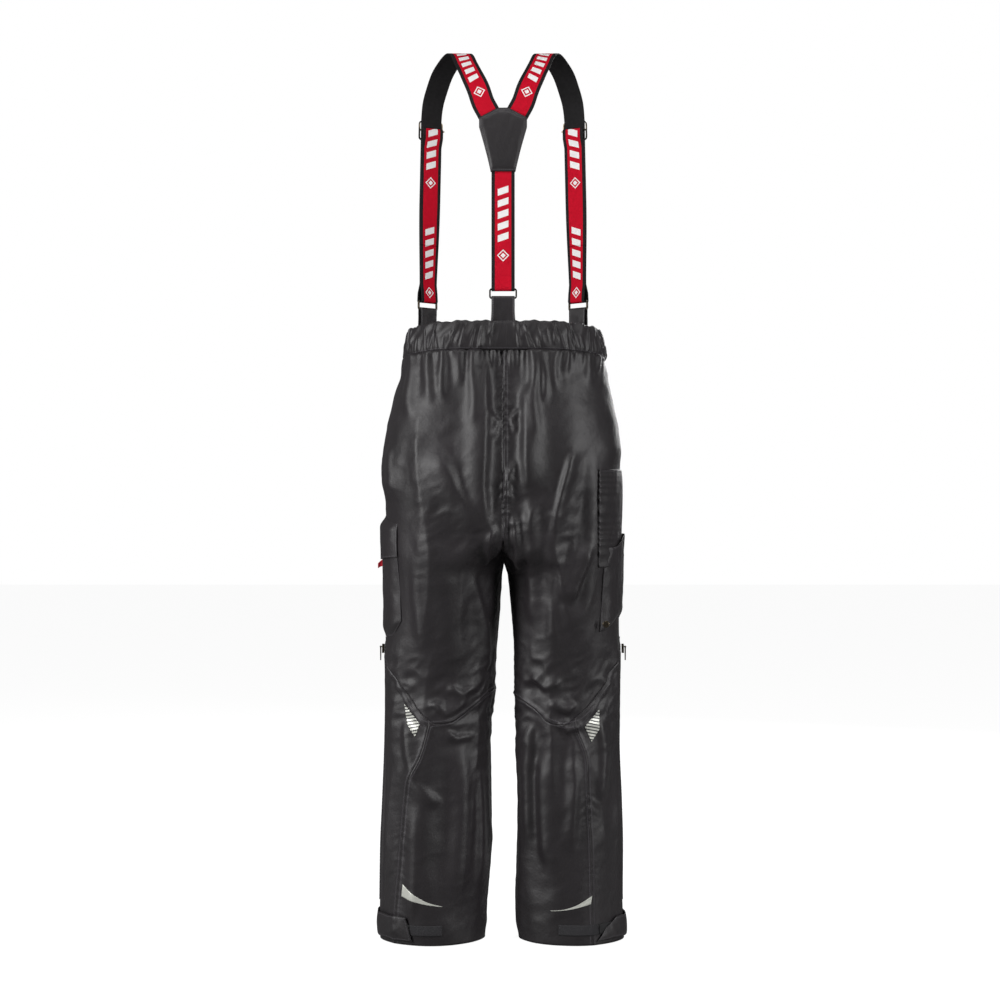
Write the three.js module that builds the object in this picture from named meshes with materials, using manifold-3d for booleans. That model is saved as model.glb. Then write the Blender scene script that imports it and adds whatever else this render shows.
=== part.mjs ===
// Shell over-trousers with elastic Y-back braces, in the shape they hold when worn.
// Millimetres. +X is the wearer's right, +Y the wearer's front, +Z up.
// Heights below are measured up from the hem; the exported group puts the origin at the waist.
import * as THREE from "three";
import { mergeVertices } from "three/addons/utils/BufferGeometryUtils.js";
import Module from "manifold-3d";

const wasm = await Module();
wasm.setup();
const { Vector3, Shape, Path, Group, Mesh, BufferGeometry, ExtrudeGeometry, BoxGeometry } = THREE;

// ---------------------------------------------------------------- driving dimensions
const GAP = 0.3; // between pieces that touch
const LIFT = 0.9; // between a curved shell and a flat-sided patch that lies on it

const LEG_LENGTH = 690; // hem to crotch
const RISE = 383; // crotch to the waistband's top edge at the sides
const WAIST_TILT = 0.09; // the waist's back edge stands higher than its front edge, per mm of depth
const WAISTBAND_HEIGHT = 50;
const SHELL_WALL = 3; // stands in for the thin coated cloth

const WAIST_HALF_WIDTH = 174;
const HIP_HALF_WIDTH = 210;
const KNEE_HALF_SPAN = 209; // centre line to the outer side of a leg, at the top of the zip
const HEM_HALF_SPAN = 217; // the same at the hem
const HEM_INNER = 31; // centre line to the inner side of a leg at the hem
const CROTCH_INNER = 6;
const WAIST_HALF_DEPTH = 127;
const HIP_HALF_DEPTH = 148;
const KNEE_HALF_DEPTH = 88;
const HEM_HALF_DEPTH = 82;

const WEBBING_WIDTH = 40;
const WEBBING_THICKNESS = 1.8;
const TAB_WIDTH = 40;
const TAB_THICKNESS = 1.6;
const RING_BAR_RISE = 49.8; // the rings' lower bars, above the waistband's edge at the sides
const FRONT_TAB_ANGLE = 45; // degrees round the waist's oval from the side
const RING_WIRE = 2.8;
const RING_PITCH = 15.6; // between the ring's two bars
const RING_SWING_ROOM = 3.4; // room beside the ring's upper bar inside the webbing's fold
const ADJUSTER_HEIGHT = 36;
const ADJUSTER_WIRE = 2.4;

const ZIP_BELOW_CROTCH = 168; // the zip's upper end
const ZIP_BOTTOM = 64;
const ZIP_TAPE_WIDTH = 26;
const ZIP_CHAIN_WIDTH = 5;

const POCKET_DEPTH = 14; // how far the bellows pocket stands off the thigh
const RULE_POCKET_DEPTH = 11;
const POCKET_WALL = 1.6;

const WAIST_TOP = LEG_LENGTH + RISE;
const ZIP_TOP = LEG_LENGTH - ZIP_BELOW_CROTCH;
const WAISTBAND_BOTTOM = WAIST_TOP - WAISTBAND_HEIGHT;
const FLOOR_MARGIN = 5; // how far cutters reach past the shell
const DEGREES = Math.PI / 180;

const mix = (a, b, t) => a + (b - a) * t;
const seamSteps = (from, to, n) => Array.from({ length: n + 1 }, (_, i) => mix(from, to, i / n));

// ---------------------------------------------------------------- profiles of the shell
// A smooth curve through [height, value] pairs that never overshoots them.
function profile(pairs) {
  const slope = pairs.slice(1).map(([h, v], i) => (v - pairs[i][1]) / (h - pairs[i][0]));
  const tangent = pairs.map((_, i) => {
    if (i === 0) return slope[0];
    if (i === pairs.length - 1) return slope[i - 1];
    const [before, after] = [slope[i - 1], slope[i]];
    return before * after <= 0 ? 0 : (2 * before * after) / (before + after);
  });
  return (height) => {
    let i = pairs.findIndex(([h]) => h >= height) - 1;
    if (i === -2) i = pairs.length - 2;
    i = Math.max(0, Math.min(i, pairs.length - 2));
    const width = pairs[i + 1][0] - pairs[i][0];
    const t = Math.max(0, Math.min(1, (height - pairs[i][0]) / width));
    const atStart = pairs[i][1] * (1 + 2 * t) + tangent[i] * width * t;
    const atEnd = pairs[i + 1][1] * (3 - 2 * t) + tangent[i + 1] * width * (t - 1);
    return atStart * (1 - t) ** 2 + atEnd * t ** 2;
  };
}

const HIP_HEIGHT = LEG_LENGTH + 0.29 * RISE;
const KNEE_HEIGHT = 0.62 * LEG_LENGTH;
const THIGH_HEIGHT = 0.855 * LEG_LENGTH;

const sideSlope = (KNEE_HALF_SPAN - HEM_HALF_SPAN) / ZIP_TOP; // the zip runs along this straight line
const upperSide = profile([
  [ZIP_TOP, KNEE_HALF_SPAN],
  [LEG_LENGTH, HIP_HALF_WIDTH],
  [HIP_HEIGHT + 0.1 * RISE, HIP_HALF_WIDTH - 2],
  [LEG_LENGTH + 0.62 * RISE, WAIST_HALF_WIDTH + 25],
  [LEG_LENGTH + 0.82 * RISE, WAIST_HALF_WIDTH + 11],
  [WAIST_TOP, WAIST_HALF_WIDTH],
]);
const outerSide = (h) => (h <= ZIP_TOP ? HEM_HALF_SPAN + sideSlope * h : upperSide(h));
const innerSide = profile([
  [0, HEM_INNER],
  [0.3 * LEG_LENGTH, HEM_INNER - 4],
  [KNEE_HEIGHT, HEM_INNER - 9],
  [THIGH_HEIGHT, CROTCH_INNER + 8],
  [LEG_LENGTH, CROTCH_INNER],
]);
const roundEnd = profile([
  [LEG_LENGTH, (HIP_HALF_WIDTH - CROTCH_INNER) / 2],
  [HIP_HEIGHT, 0.53 * HIP_HALF_WIDTH],
  [WAIST_TOP, 0.69 * WAIST_HALF_WIDTH],
]);
const halfDepth = profile([
  [0, HEM_HALF_DEPTH],
  [KNEE_HEIGHT, KNEE_HALF_DEPTH],
  [THIGH_HEIGHT, 0.76 * HIP_HALF_DEPTH],
  [LEG_LENGTH, 0.89 * HIP_HALF_DEPTH],
  [HIP_HEIGHT + 0.08 * RISE, HIP_HALF_DEPTH],
  [WAISTBAND_BOTTOM, WAIST_HALF_DEPTH + 3],
  [WAIST_TOP, WAIST_HALF_DEPTH],
]);
const depthShift = profile([
  [0, 0],
  [ZIP_TOP + 10, 0],
  [HIP_HEIGHT, -7],
  [WAISTBAND_BOTTOM, 0],
  [WAIST_TOP, 0],
]);
const halfSpan = (h) => (h < LEG_LENGTH ? (outerSide(h) - innerSide(h)) / 2 : roundEnd(h));
const legCentre = (h) => outerSide(h) - halfSpan(h);

const tilt = (h) => WAIST_TILT * THREE.MathUtils.smoothstep(h, HIP_HEIGHT, WAIST_TOP);

// A point on one side's surface. The angle is 0 at the outer side, -90 degrees at the back.
function onShell(side, angle, height, offset = 0) {
  const y = depthShift(height) + (halfDepth(height) + offset) * Math.sin(angle);
  const x = legCentre(height) + (halfSpan(height) + offset) * Math.cos(angle);
  return new Vector3(side * x, y, height - tilt(height) * y);
}
// The angle at which the back of a leg has that distance from the centre line.
function backAngle(x, height) {
  const along = (x - legCentre(height)) / halfSpan(height);
  return -Math.acos(Math.max(-1, Math.min(1, along)));
}

// ---------------------------------------------------------------- solids from points
function geometryOf(points, faces) {
  const geometry = new BufferGeometry();
  const numbers = points.flatMap((p) => [p.x, p.y, p.z]);
  geometry.setAttribute("position", new THREE.Float32BufferAttribute(numbers, 3));
  geometry.setIndex(faces.flat());
  return geometry;
}

// A closed solid through rings of equally many points, each ring counter-clockwise from above.
function loft(rings) {
  const n = rings[0].length;
  const points = rings.flat();
  const faces = [];
  for (let r = 0; r + 1 < rings.length; r++)
    for (let i = 0; i < n; i++) {
      const [a, b] = [r * n + i, r * n + ((i + 1) % n)];
      faces.push([a, b, b + n], [a, b + n, a + n]);
    }
  [0, rings.length - 1].forEach((r) => {
    const middle = rings[r].reduce((sum, p) => sum.clone().add(p), new Vector3()).divideScalar(n);
    points.push(middle);
    for (let i = 0; i < n; i++) {
      const edge = [r * n + i, r * n + ((i + 1) % n)];
      faces.push(r === 0 ? [edge[1], edge[0], points.length - 1] : [edge[0], edge[1], points.length - 1]);
    }
  });
  return geometryOf(points, faces);
}

// A closed solid between two grids of points, the outer one seen with its rows to the right.
function sandwich(outer, inner) {
  const [rows, columns] = [outer.length, outer[0].length];
  const points = [...outer.flat(), ...inner.flat()];
  const at = (r, c, layer) => layer * rows * columns + r * columns + c;
  const faces = [];
  const quad = (a, b, c, d) => faces.push([a, b, c], [a, c, d]);
  for (let r = 0; r + 1 < rows; r++)
    for (let c = 0; c + 1 < columns; c++) {
      quad(at(r, c, 0), at(r + 1, c, 0), at(r + 1, c + 1, 0), at(r, c + 1, 0));
      quad(at(r, c, 1), at(r, c + 1, 1), at(r + 1, c + 1, 1), at(r + 1, c, 1));
    }
  for (let r = 0; r + 1 < rows; r++) {
    quad(at(r, 0, 1), at(r + 1, 0, 1), at(r + 1, 0, 0), at(r, 0, 0));
    quad(at(r, columns - 1, 0), at(r + 1, columns - 1, 0), at(r + 1, columns - 1, 1), at(r, columns - 1, 1));
  }
  for (let c = 0; c + 1 < columns; c++) {
    quad(at(0, c, 0), at(0, c + 1, 0), at(0, c + 1, 1), at(0, c, 1));
    quad(at(rows - 1, c + 1, 0), at(rows - 1, c, 0), at(rows - 1, c, 1), at(rows - 1, c + 1, 1));
  }
  return outward(geometryOf(points, faces));
}

// A strip of cloth or webbing along stations, each with its middle, its width and its face direction.
function ribbon(stations, thickness) {
  const layer = (k) =>
    stations.map(({ middle, across, face, width }) => {
      const line = middle.clone().addScaledVector(face, k * thickness);
      return [-0.5, 0.5].map((w) => line.clone().addScaledVector(across, w * width));
    });
  return sandwich(layer(0.5), layer(-0.5));
}

const toSolid = (geometry) => {
  const bare = geometry.clone();
  ["normal", "uv"].forEach((name) => bare.deleteAttribute(name));
  const merged = mergeVertices(bare.index ? bare.toNonIndexed() : bare, 1e-4);
  return new wasm.Manifold(
    new wasm.Mesh({
      numProp: 3,
      vertProperties: merged.attributes.position.array,
      triVerts: new Uint32Array(merged.index.array),
    }),
  );
};
function toGeometry(solid) {
  const mesh = solid.getMesh();
  const geometry = new BufferGeometry();
  geometry.setAttribute("position", new THREE.BufferAttribute(new Float32Array(mesh.vertProperties), 3));
  geometry.setIndex(new THREE.BufferAttribute(new Uint32Array(mesh.triVerts), 1));
  return geometry;
}
// The same geometry with its faces pointing out.
function outward(geometry) {
  if (toSolid(geometry).volume() > 0) return geometry;
  const index = geometry.index.array;
  for (let i = 0; i < index.length; i += 3) [index[i + 1], index[i + 2]] = [index[i + 2], index[i + 1]];
  return geometry;
}
const cut = (a, ...others) => toGeometry(others.reduce((s, o) => s.subtract(toSolid(o)), toSolid(a)));
const join = (a, ...others) => toGeometry(others.reduce((s, o) => s.add(toSolid(o)), toSolid(a)));

// A patch lying on the shell. where(s, t) gives [angle, height]; the offsets may depend on s and t.
function shellPatch(side, where, from, to, rows, columns) {
  const offset = (value, s, t) => (typeof value === "function" ? value(s, t) : value);
  const layer = (value) =>
    Array.from({ length: rows + 1 }, (_, r) =>
      Array.from({ length: columns + 1 }, (_, c) => {
        const [s, t] = [r / rows, c / columns];
        const [angle, height] = where(s, t);
        return onShell(side, angle, height, offset(value, s, t));
      }),
    );
  return sandwich(layer(to), layer(from));
}

// A prism along Y through an outline in X and height.
function prism(outline, fromY, toY) {
  const shape = new Shape(outline.map(([x, h]) => new THREE.Vector2(x, h)));
  const geometry = new ExtrudeGeometry(shape, { depth: toY - fromY, bevelEnabled: false });
  return outward(mergeVertices(plain(geometry.rotateX(Math.PI / 2).translate(0, toY, 0)), 1e-4));
}
function plain(geometry) {
  ["normal", "uv"].forEach((name) => geometry.deleteAttribute(name));
  return geometry;
}

// ---------------------------------------------------------------- the trouser shell
const RING_POINTS = 28; // round a leg
const LEG_LEVELS = 12;
const HIP_LEVELS = 10;
const HALF_POINTS = 16; // round one end of the hips
const BAND_POINTS = 24; // round one end of the waistband

function legSolid(side, offset, from, to) {
  const angles = Array.from({ length: RING_POINTS }, (_, i) => side * (i / RING_POINTS) * 2 * Math.PI);
  const levels = seamSteps(from, to, LEG_LEVELS);
  return loft(levels.map((h) => angles.map((angle) => onShell(side, angle, h, offset))));
}
function hipRing(height, offset, steps = HALF_POINTS) {
  const right = seamSteps(-90, 90, steps).map((a) => onShell(1, a * DEGREES, height, offset));
  return [...right, ...right.map((p) => new Vector3(-p.x, p.y, p.z)).reverse()];
}
function hipSolid(offset, from, to) {
  return loft(seamSteps(from, to, HIP_LEVELS).map((h) => hipRing(h, offset)));
}
// The waistband's surface is straight from its lower edge to its upper edge, and goes on past both.
const alongBand = (low, high, height) =>
  low.clone().lerp(high, (height - WAISTBAND_BOTTOM) / (WAIST_TOP - WAISTBAND_BOTTOM));
function hipBand(offset, from, to) {
  const [low, high] = [WAISTBAND_BOTTOM, WAIST_TOP].map((h) => hipRing(h, offset, BAND_POINTS));
  return loft([from, to].map((h) => low.map((p, i) => alongBand(p, high[i], h))));
}

const LEG_TOP = LEG_LENGTH + 12; // the leg solids run a little way into the hips
const shellOutside = join(
  hipSolid(0, LEG_LENGTH, WAISTBAND_BOTTOM - GAP),
  legSolid(1, 0, 0, LEG_TOP),
  legSolid(-1, 0, 0, LEG_TOP),
);
const shell = toSolid(shellOutside)
  .subtract(toSolid(hipSolid(-SHELL_WALL, LEG_LENGTH + SHELL_WALL, WAISTBAND_BOTTOM + FLOOR_MARGIN)))
  .subtract(toSolid(legSolid(1, -SHELL_WALL, -FLOOR_MARGIN, LEG_TOP)))
  .subtract(toSolid(legSolid(-1, -SHELL_WALL, -FLOOR_MARGIN, LEG_TOP)));

// Seam lines, as seen from behind: distance from the centre line against height.
const FAR = HIP_HALF_WIDTH + 60;
const kneeSeam = profile([
  [-FLOOR_MARGIN, KNEE_HEIGHT + 26],
  [36, KNEE_HEIGHT + 4],
  [68, KNEE_HEIGHT - 23],
  [92, KNEE_HEIGHT - 38],
  [130, KNEE_HEIGHT - 40],
  [150, KNEE_HEIGHT - 26],
  [175, KNEE_HEIGHT + 9],
  [195, KNEE_HEIGHT + 54],
  [FAR, ZIP_TOP + 120],
]);
const sideSeam = profile([
  [-FLOOR_MARGIN, HEM_HALF_SPAN - 40],
  [0.18 * LEG_LENGTH, HEM_HALF_SPAN - 46],
  [0.42 * LEG_LENGTH, HEM_HALF_SPAN - 57],
  [KNEE_HEIGHT, HEM_HALF_SPAN - 87],
]);

function aboveKnee(side, grow) {
  const line = seamSteps(-FLOOR_MARGIN, FAR, 24).map((x) => [side * x, kneeSeam(x) - grow]);
  return prism([...line, [side * FAR, WAIST_TOP], [-side * FLOOR_MARGIN, WAIST_TOP]], -FAR, FAR);
}
function outsideSideSeam(side, grow) {
  const seam = seamSteps(KNEE_HEIGHT, -FLOOR_MARGIN, 8).map((h) => [side * (sideSeam(h) - grow), h]);
  const top = [side * (sideSeam(KNEE_HEIGHT) - grow), ZIP_TOP + FAR];
  return prism([top, ...seam, [side * FAR, -FLOOR_MARGIN], [side * FAR, ZIP_TOP + FAR]], -FAR, FAR);
}
function quarter(side, front) {
  const [x0, x1] = [GAP / 2, FAR];
  const size = [x1 - x0, FAR, WAIST_TOP + 2 * FLOOR_MARGIN];
  return new BoxGeometry(...size).translate(
    side * ((x0 + x1) / 2),
    (front ? 1 : -1) * (FAR / 2 + GAP / 2),
    WAIST_TOP / 2,
  );
}
function trouserPanels(side) {
  const [back, front] = [false, true].map((isFront) => shell.intersect(toSolid(quarter(side, isFront))));
  const [upper, upperGrown] = [0, GAP].map((grow) => toSolid(aboveKnee(side, grow)));
  const [outside, outsideGrown] = [0, GAP].map((grow) => toSolid(outsideSideSeam(side, grow)));
  const sidePanel = shell.intersect(outside).subtract(upperGrown);
  return {
    back_panel: toGeometry(back.intersect(upper)),
    lower_back_panel: toGeometry(back.subtract(upperGrown).subtract(outsideGrown)),
    lower_side_panel: toGeometry(sidePanel),
    front_panel: toGeometry(front.subtract(outsideGrown.subtract(upper))),
  };
}

// ---------------------------------------------------------------- materials
const material = (color, roughness, metalness = 0) =>
  new THREE.MeshStandardMaterial({ color, roughness, metalness });
const COATED_NYLON = material(0x3b3a3e, 0.45);
const RED_WEBBING = material(0xb5061f, 0.8);
const BLACK_WEBBING = material(0x141416, 0.85);
const GUNMETAL = material(0x3a342c, 0.35, 0.9);
const REFLECTIVE = material(0xb9bdb6, 0.4);
const HOOK_TAPE = material(0x232325, 0.95);
const BLACK_ZIP = material(0x1b1b1d, 0.6);
const PALE_ELASTIC = material(0xd8d6d0, 0.9);

const trousers = new Group();
trousers.position.z = -WAIST_TOP;
function add(name, geometry, finish, parent = trousers) {
  const mesh = new Mesh(geometry, finish);
  mesh.name = name;
  parent.add(mesh);
  return mesh;
}
const LEFT = -1;
const RIGHT = 1;
const SIDES = [
  ["left", LEFT],
  ["right", RIGHT],
];
for (const [word, side] of SIDES)
  for (const [name, geometry] of Object.entries(trouserPanels(side)))
    add(`${name}_${word}`, geometry, COATED_NYLON);

// ---------------------------------------------------------------- waistband, its elastic and the seam tape
const CASING_OUT = 2; // the casing's outer face stands this far outside the shell
const CASING_CLOTH = 2;
const ELASTIC_THICKNESS = 3.4;
const CASING_IN = CASING_OUT - 2 * CASING_CLOTH - ELASTIC_THICKNESS - 2 * GAP;
const ELASTIC_MARGIN = 4; // below the casing's fold

add(
  "waistband_casing",
  cut(
    cut(
      hipBand(CASING_OUT, WAISTBAND_BOTTOM, WAIST_TOP),
      hipBand(CASING_IN, WAISTBAND_BOTTOM - FLOOR_MARGIN, WAIST_TOP + FLOOR_MARGIN),
    ),
    cut(
      hipBand(CASING_OUT - CASING_CLOTH, WAISTBAND_BOTTOM - FLOOR_MARGIN, WAIST_TOP - CASING_CLOTH),
      hipBand(CASING_IN + CASING_CLOTH, WAISTBAND_BOTTOM - 2 * FLOOR_MARGIN, WAIST_TOP),
    ),
  ),
  COATED_NYLON,
);
add(
  "waist_elastic",
  cut(
    hipBand(
      CASING_OUT - CASING_CLOTH - GAP,
      WAISTBAND_BOTTOM + ELASTIC_MARGIN,
      WAIST_TOP - CASING_CLOTH - ELASTIC_MARGIN,
    ),
    hipBand(CASING_IN + CASING_CLOTH + GAP, WAISTBAND_BOTTOM, WAIST_TOP),
  ),
  PALE_ELASTIC,
);

// The tape that seals the centre back seam on the inside.
const TAPE_WIDTH = 22;
const seamTapeStations = seamSteps(LEG_LENGTH + 40, WAISTBAND_BOTTOM - 8, 10).map((h) => ({
  middle: new Vector3(0, depthShift(h) - halfDepth(h) + SHELL_WALL + LIFT, h),
  across: new Vector3(1, 0, 0),
  face: new Vector3(0, -1, 0),
  width: TAPE_WIDTH,
}));
add("centre_seam_tape", ribbon(seamTapeStations, 0.6), BLACK_WEBBING);

// ---------------------------------------------------------------- tabs and rings
const CASING_MIDDLE = (CASING_OUT + CASING_IN) / 2;
const RING_LOW = WAIST_TOP + RING_BAR_RISE;
const TAB_EYE = RING_WIRE / 2 + 1; // inner radius of the fold round the ring's lower bar
const TAB_END = 4; // the tab's outer end, above the waistband's lower edge
const TAB_INNER_END = 20; // its inner end
const TAB_STANDING = 4; // it stands upright this far above the waistband
const TAB_SAGITTA = (1.15 * (TAB_WIDTH / 2) ** 2) / (2 * halfSpan(WAIST_TOP)); // the oval's bend across a tab

// A place on the waistband's surface, at that angle round one end of the oval.
const onBand = (side, angle, height) =>
  alongBand(
    onShell(side, angle, WAISTBAND_BOTTOM, CASING_MIDDLE),
    onShell(side, angle, WAIST_TOP, CASING_MIDDLE),
    height,
  );
const frontTab = (side) => onBand(side, FRONT_TAB_ANGLE * DEGREES, WAIST_TOP);
const frontTurn = Math.atan2(
  halfDepth(WAIST_TOP) * Math.cos(FRONT_TAB_ANGLE * DEGREES),
  halfSpan(WAIST_TOP) * Math.sin(FRONT_TAB_ANGLE * DEGREES),
); // how far the oval's outward direction has turned there, away from straight ahead

// Each tab stands in its own frame: local Y points out of the waist, and Z is up.
const backRim = onBand(1, -90 * DEGREES, WAIST_TOP);
// Their flare is how far out the waistband's lower edge stands from its upper edge.
const backFlare = halfDepth(WAISTBAND_BOTTOM) - halfDepth(WAIST_TOP);
const frontFoot = onBand(RIGHT, FRONT_TAB_ANGLE * DEGREES, WAISTBAND_BOTTOM).sub(frontTab(RIGHT));
const frontFlare = frontFoot.x * Math.sin(frontTurn) + frontFoot.y * Math.cos(frontTurn);
const TAB_SITES = {
  back: { rim: new Vector3(0, backRim.y, backRim.z), turn: Math.PI, flare: backFlare },
  front_left: { rim: frontTab(LEFT), turn: frontTurn, flare: frontFlare },
  front_right: { rim: frontTab(RIGHT), turn: -frontTurn, flare: frontFlare },
};
function siteGroup({ rim, turn }) {
  const group = new Group();
  group.position.set(rim.x, rim.y, 0);
  group.rotation.z = turn;
  trousers.add(group);
  return group;
}

// Stations of a strip that lies across the local YZ plane, from [y, z] points.
function flatStations(points, width = TAB_WIDTH) {
  return points.map(([y, z], i) => {
    const before = points[Math.max(0, i - 1)];
    const after = points[Math.min(points.length - 1, i + 1)];
    const along = new Vector3(0, after[0] - before[0], after[1] - before[1]).normalize();
    const across = new Vector3(1, 0, 0);
    return { middle: new Vector3(0, y, z), across, face: new Vector3().crossVectors(across, along), width };
  });
}
function arc(cy, cz, ry, rz, from, to, steps) {
  const angles = seamSteps(from, to, steps).map((a) => a * DEGREES);
  return angles.map((a) => [cy + ry * Math.cos(a), cz + rz * Math.sin(a)]);
}
function tabGeometry({ rim, flare }) {
  const eye = TAB_EYE + TAB_THICKNESS / 2;
  const outer = (CASING_OUT - CASING_IN) / 2 + LIFT + TAB_THICKNESS / 2;
  const inner = -(outer + TAB_SAGITTA);
  const down = (depth) => rim.z - WAISTBAND_HEIGHT + depth;
  const lean = (depth) => flare * (1 - depth / WAISTBAND_HEIGHT);
  return ribbon(
    flatStations([
      [outer + lean(TAB_END), down(TAB_END)],
      [outer, rim.z],
      [outer, rim.z + TAB_STANDING],
      ...arc(0, RING_LOW, eye, eye, 0, 180, 8),
      [inner, rim.z + TAB_STANDING],
      [inner, rim.z],
      [inner + lean(TAB_INNER_END), down(TAB_INNER_END)],
    ]),
    TAB_THICKNESS,
  );
}

function roundedRectangle(Kind, width, height, radius) {
  const [w, h] = [width / 2, height / 2];
  const outline = new Kind();
  outline.moveTo(-w + radius, -h);
  outline.lineTo(w - radius, -h).absarc(w - radius, -h + radius, radius, -Math.PI / 2, 0, false);
  outline.lineTo(w, h - radius).absarc(w - radius, h - radius, radius, 0, Math.PI / 2, false);
  outline.lineTo(-w + radius, h).absarc(-w + radius, h - radius, radius, Math.PI / 2, Math.PI, false);
  outline.lineTo(-w, -h + radius).absarc(-w + radius, -h + radius, radius, Math.PI, 1.5 * Math.PI, false);
  return outline;
}
// A flat frame with a rounded window, in the XZ plane, centred on the origin.
function wireFrame(innerWidth, innerHeight, wire, cornerRadius) {
  const shape = roundedRectangle(Shape, innerWidth + 2 * wire, innerHeight + 2 * wire, cornerRadius + wire);
  shape.holes.push(roundedRectangle(Path, innerWidth, innerHeight, cornerRadius));
  const frame = new ExtrudeGeometry(shape, { depth: wire, bevelEnabled: false, curveSegments: 4 });
  return outward(mergeVertices(plain(frame.translate(0, 0, -wire / 2).rotateX(Math.PI / 2)), 1e-4));
}
const RING_WINDOW = WEBBING_WIDTH + 2.4;
const ringGeometry = () => wireFrame(RING_WINDOW, RING_PITCH - RING_WIRE, RING_WIRE, 2);
const NAMES = {
  back: ["back_tab", "back_ring"],
  front_left: ["front_tab_left", "front_ring_left"],
  front_right: ["front_tab_right", "front_ring_right"],
};
for (const [place, site] of Object.entries(TAB_SITES)) {
  const [tabName, ringName] = NAMES[place];
  const group = siteGroup(site);
  add(tabName, tabGeometry(site), COATED_NYLON, group);
  add(ringName, ringGeometry(), GUNMETAL, group).position.z = RING_LOW + RING_PITCH / 2;
}

// ---------------------------------------------------------------- back strap and yoke
const RING_HIGH = RING_LOW + RING_PITCH;
const BACK_LEAN = 0.03; // forward lean of the strap and yoke, per mm of height
const YOKE_BOTTOM = 203; // above the back ring's upper bar
const YOKE_HEIGHT = 110;
const YOKE_TOP_HALF = 9;
const YOKE_SHOULDER = 93; // height of the yoke's side corners above its bottom edge
const YOKE_BOTTOM_HALF = WEBBING_WIDTH / 2 + 1;
const YOKE_CLOTH = 1.2;
const STRAP_IN_YOKE = 9; // how far a shoulder strap's end goes in between the yoke's layers
const STRAP_SPLAY = 28 * DEGREES; // from upright, where it leaves the yoke
const STRAP_APART = 3.12; // from the centre line to the inner corner of a strap's end
const strapEndHalf = (WEBBING_WIDTH / 2) * Math.cos(STRAP_SPLAY);
const strapRootX = STRAP_APART + STRAP_IN_YOKE * Math.sin(STRAP_SPLAY) + strapEndHalf;
const YOKE_SHOULDER_HALF = 2 * strapRootX - YOKE_TOP_HALF;
const STRAP_INTO_YOKE = 22;
const FOLD_TAIL = 27; // the stitched tail above the ring

const foldRoom = RING_WIRE / 2 + RING_SWING_ROOM + WEBBING_THICKNESS / 2;
const foldDrop = RING_WIRE / 2 + 0.6 + WEBBING_THICKNESS / 2;
const layers = WEBBING_THICKNESS + GAP;

const backPlane = new Group();
backPlane.position.set(0, backRim.y, RING_HIGH);
backPlane.rotation.x = -Math.atan(BACK_LEAN);
trousers.add(backPlane);

add(
  "back_strap",
  ribbon(
    flatStations(
      [
        [layers, FOLD_TAIL],
        [layers, FOLD_TAIL - 8],
        [foldRoom, 4],
        ...arc(0, 0, foldRoom, foldDrop, 0, -180, 10),
        [-foldRoom, 4],
        [0, FOLD_TAIL - 8],
        [0, FOLD_TAIL],
        [0, YOKE_BOTTOM + STRAP_INTO_YOKE],
      ],
      WEBBING_WIDTH,
    ),
    WEBBING_THICKNESS,
  ),
  RED_WEBBING,
  backPlane,
);

const yokeOutline = [
  [-YOKE_BOTTOM_HALF, 0],
  [YOKE_BOTTOM_HALF, 0],
  [YOKE_SHOULDER_HALF, YOKE_SHOULDER],
  [YOKE_TOP_HALF, YOKE_HEIGHT],
  [-YOKE_TOP_HALF, YOKE_HEIGHT],
  [-YOKE_SHOULDER_HALF, YOKE_SHOULDER],
];
const yokeOffset = WEBBING_THICKNESS / 2 + GAP;
function yokeLayer(fromY) {
  const outline = yokeOutline.map(([x, h]) => [x, YOKE_BOTTOM + h]);
  return prism(outline, fromY, fromY + YOKE_CLOTH);
}
add("yoke_outer", yokeLayer(-yokeOffset - YOKE_CLOTH), COATED_NYLON, backPlane);
add("yoke_inner", yokeLayer(yokeOffset), COATED_NYLON, backPlane);

// ---------------------------------------------------------------- shoulder straps and their adjusters
backPlane.updateWorldMatrix(true, false);
const toTrousers = (x, y, z) => {
  const world = new Vector3(x, y, z).applyMatrix4(backPlane.matrixWorld);
  return new Vector3(world.x, world.y, world.z + WAIST_TOP);
};
const strapRoot = [strapRootX, (YOKE_SHOULDER + YOKE_HEIGHT) / 2];
const SHOULDER_TOP = WAIST_TOP + 494;
const ADJUSTER_ALONG = 310; // from the front ring's upper bar up to the adjuster's middle bar
const ADJUSTER_REACH = 22; // the straight run goes on this far above the adjuster
const ADJUSTER_TURN = 26 * DEGREES; // which way the strap faces there, away from straight ahead

const frontRim = TAB_SITES.front_right.rim;
const frontRing = new Vector3(frontRim.x, frontRim.y, RING_HIGH);
const UP = new Vector3(0, 0, 1);
const RUN = new Vector3(-7, -2, ADJUSTER_ALONG).normalize(); // the straight run up the chest
const RUN_START = 12; // it leaves the ring upright for this far
const barEye = 0.75 * ADJUSTER_WIRE + GAP + WEBBING_THICKNESS / 2;
const barDepth = -(layers + barEye); // the adjuster's middle bar
const frameDepth = WEBBING_THICKNESS / 2 + GAP + ADJUSTER_WIRE / 2;

// The right strap's own directions at that distance up from the ring's bar: it turns as it rises.
function runFrame(along) {
  const rising = THREE.MathUtils.smoothstep(along, RUN_START, 0.6 * ADJUSTER_ALONG);
  const turn = mix(frontTurn, ADJUSTER_TURN, rising);
  const up = UP.clone().lerp(RUN, THREE.MathUtils.clamp((along - RUN_START) / 40, 0, 1)).normalize();
  const face = new Vector3(Math.sin(turn), Math.cos(turn), 0);
  face.addScaledVector(up, -face.dot(up)).normalize();
  return { up, face, across: new Vector3().crossVectors(face, up) };
}
function onRun(along, depth) {
  const straight = Math.max(0, along - RUN_START);
  const place = frontRing.clone().addScaledVector(UP, Math.min(along, RUN_START));
  return place.addScaledVector(RUN, straight).addScaledVector(runFrame(along).face, depth);
}

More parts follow.
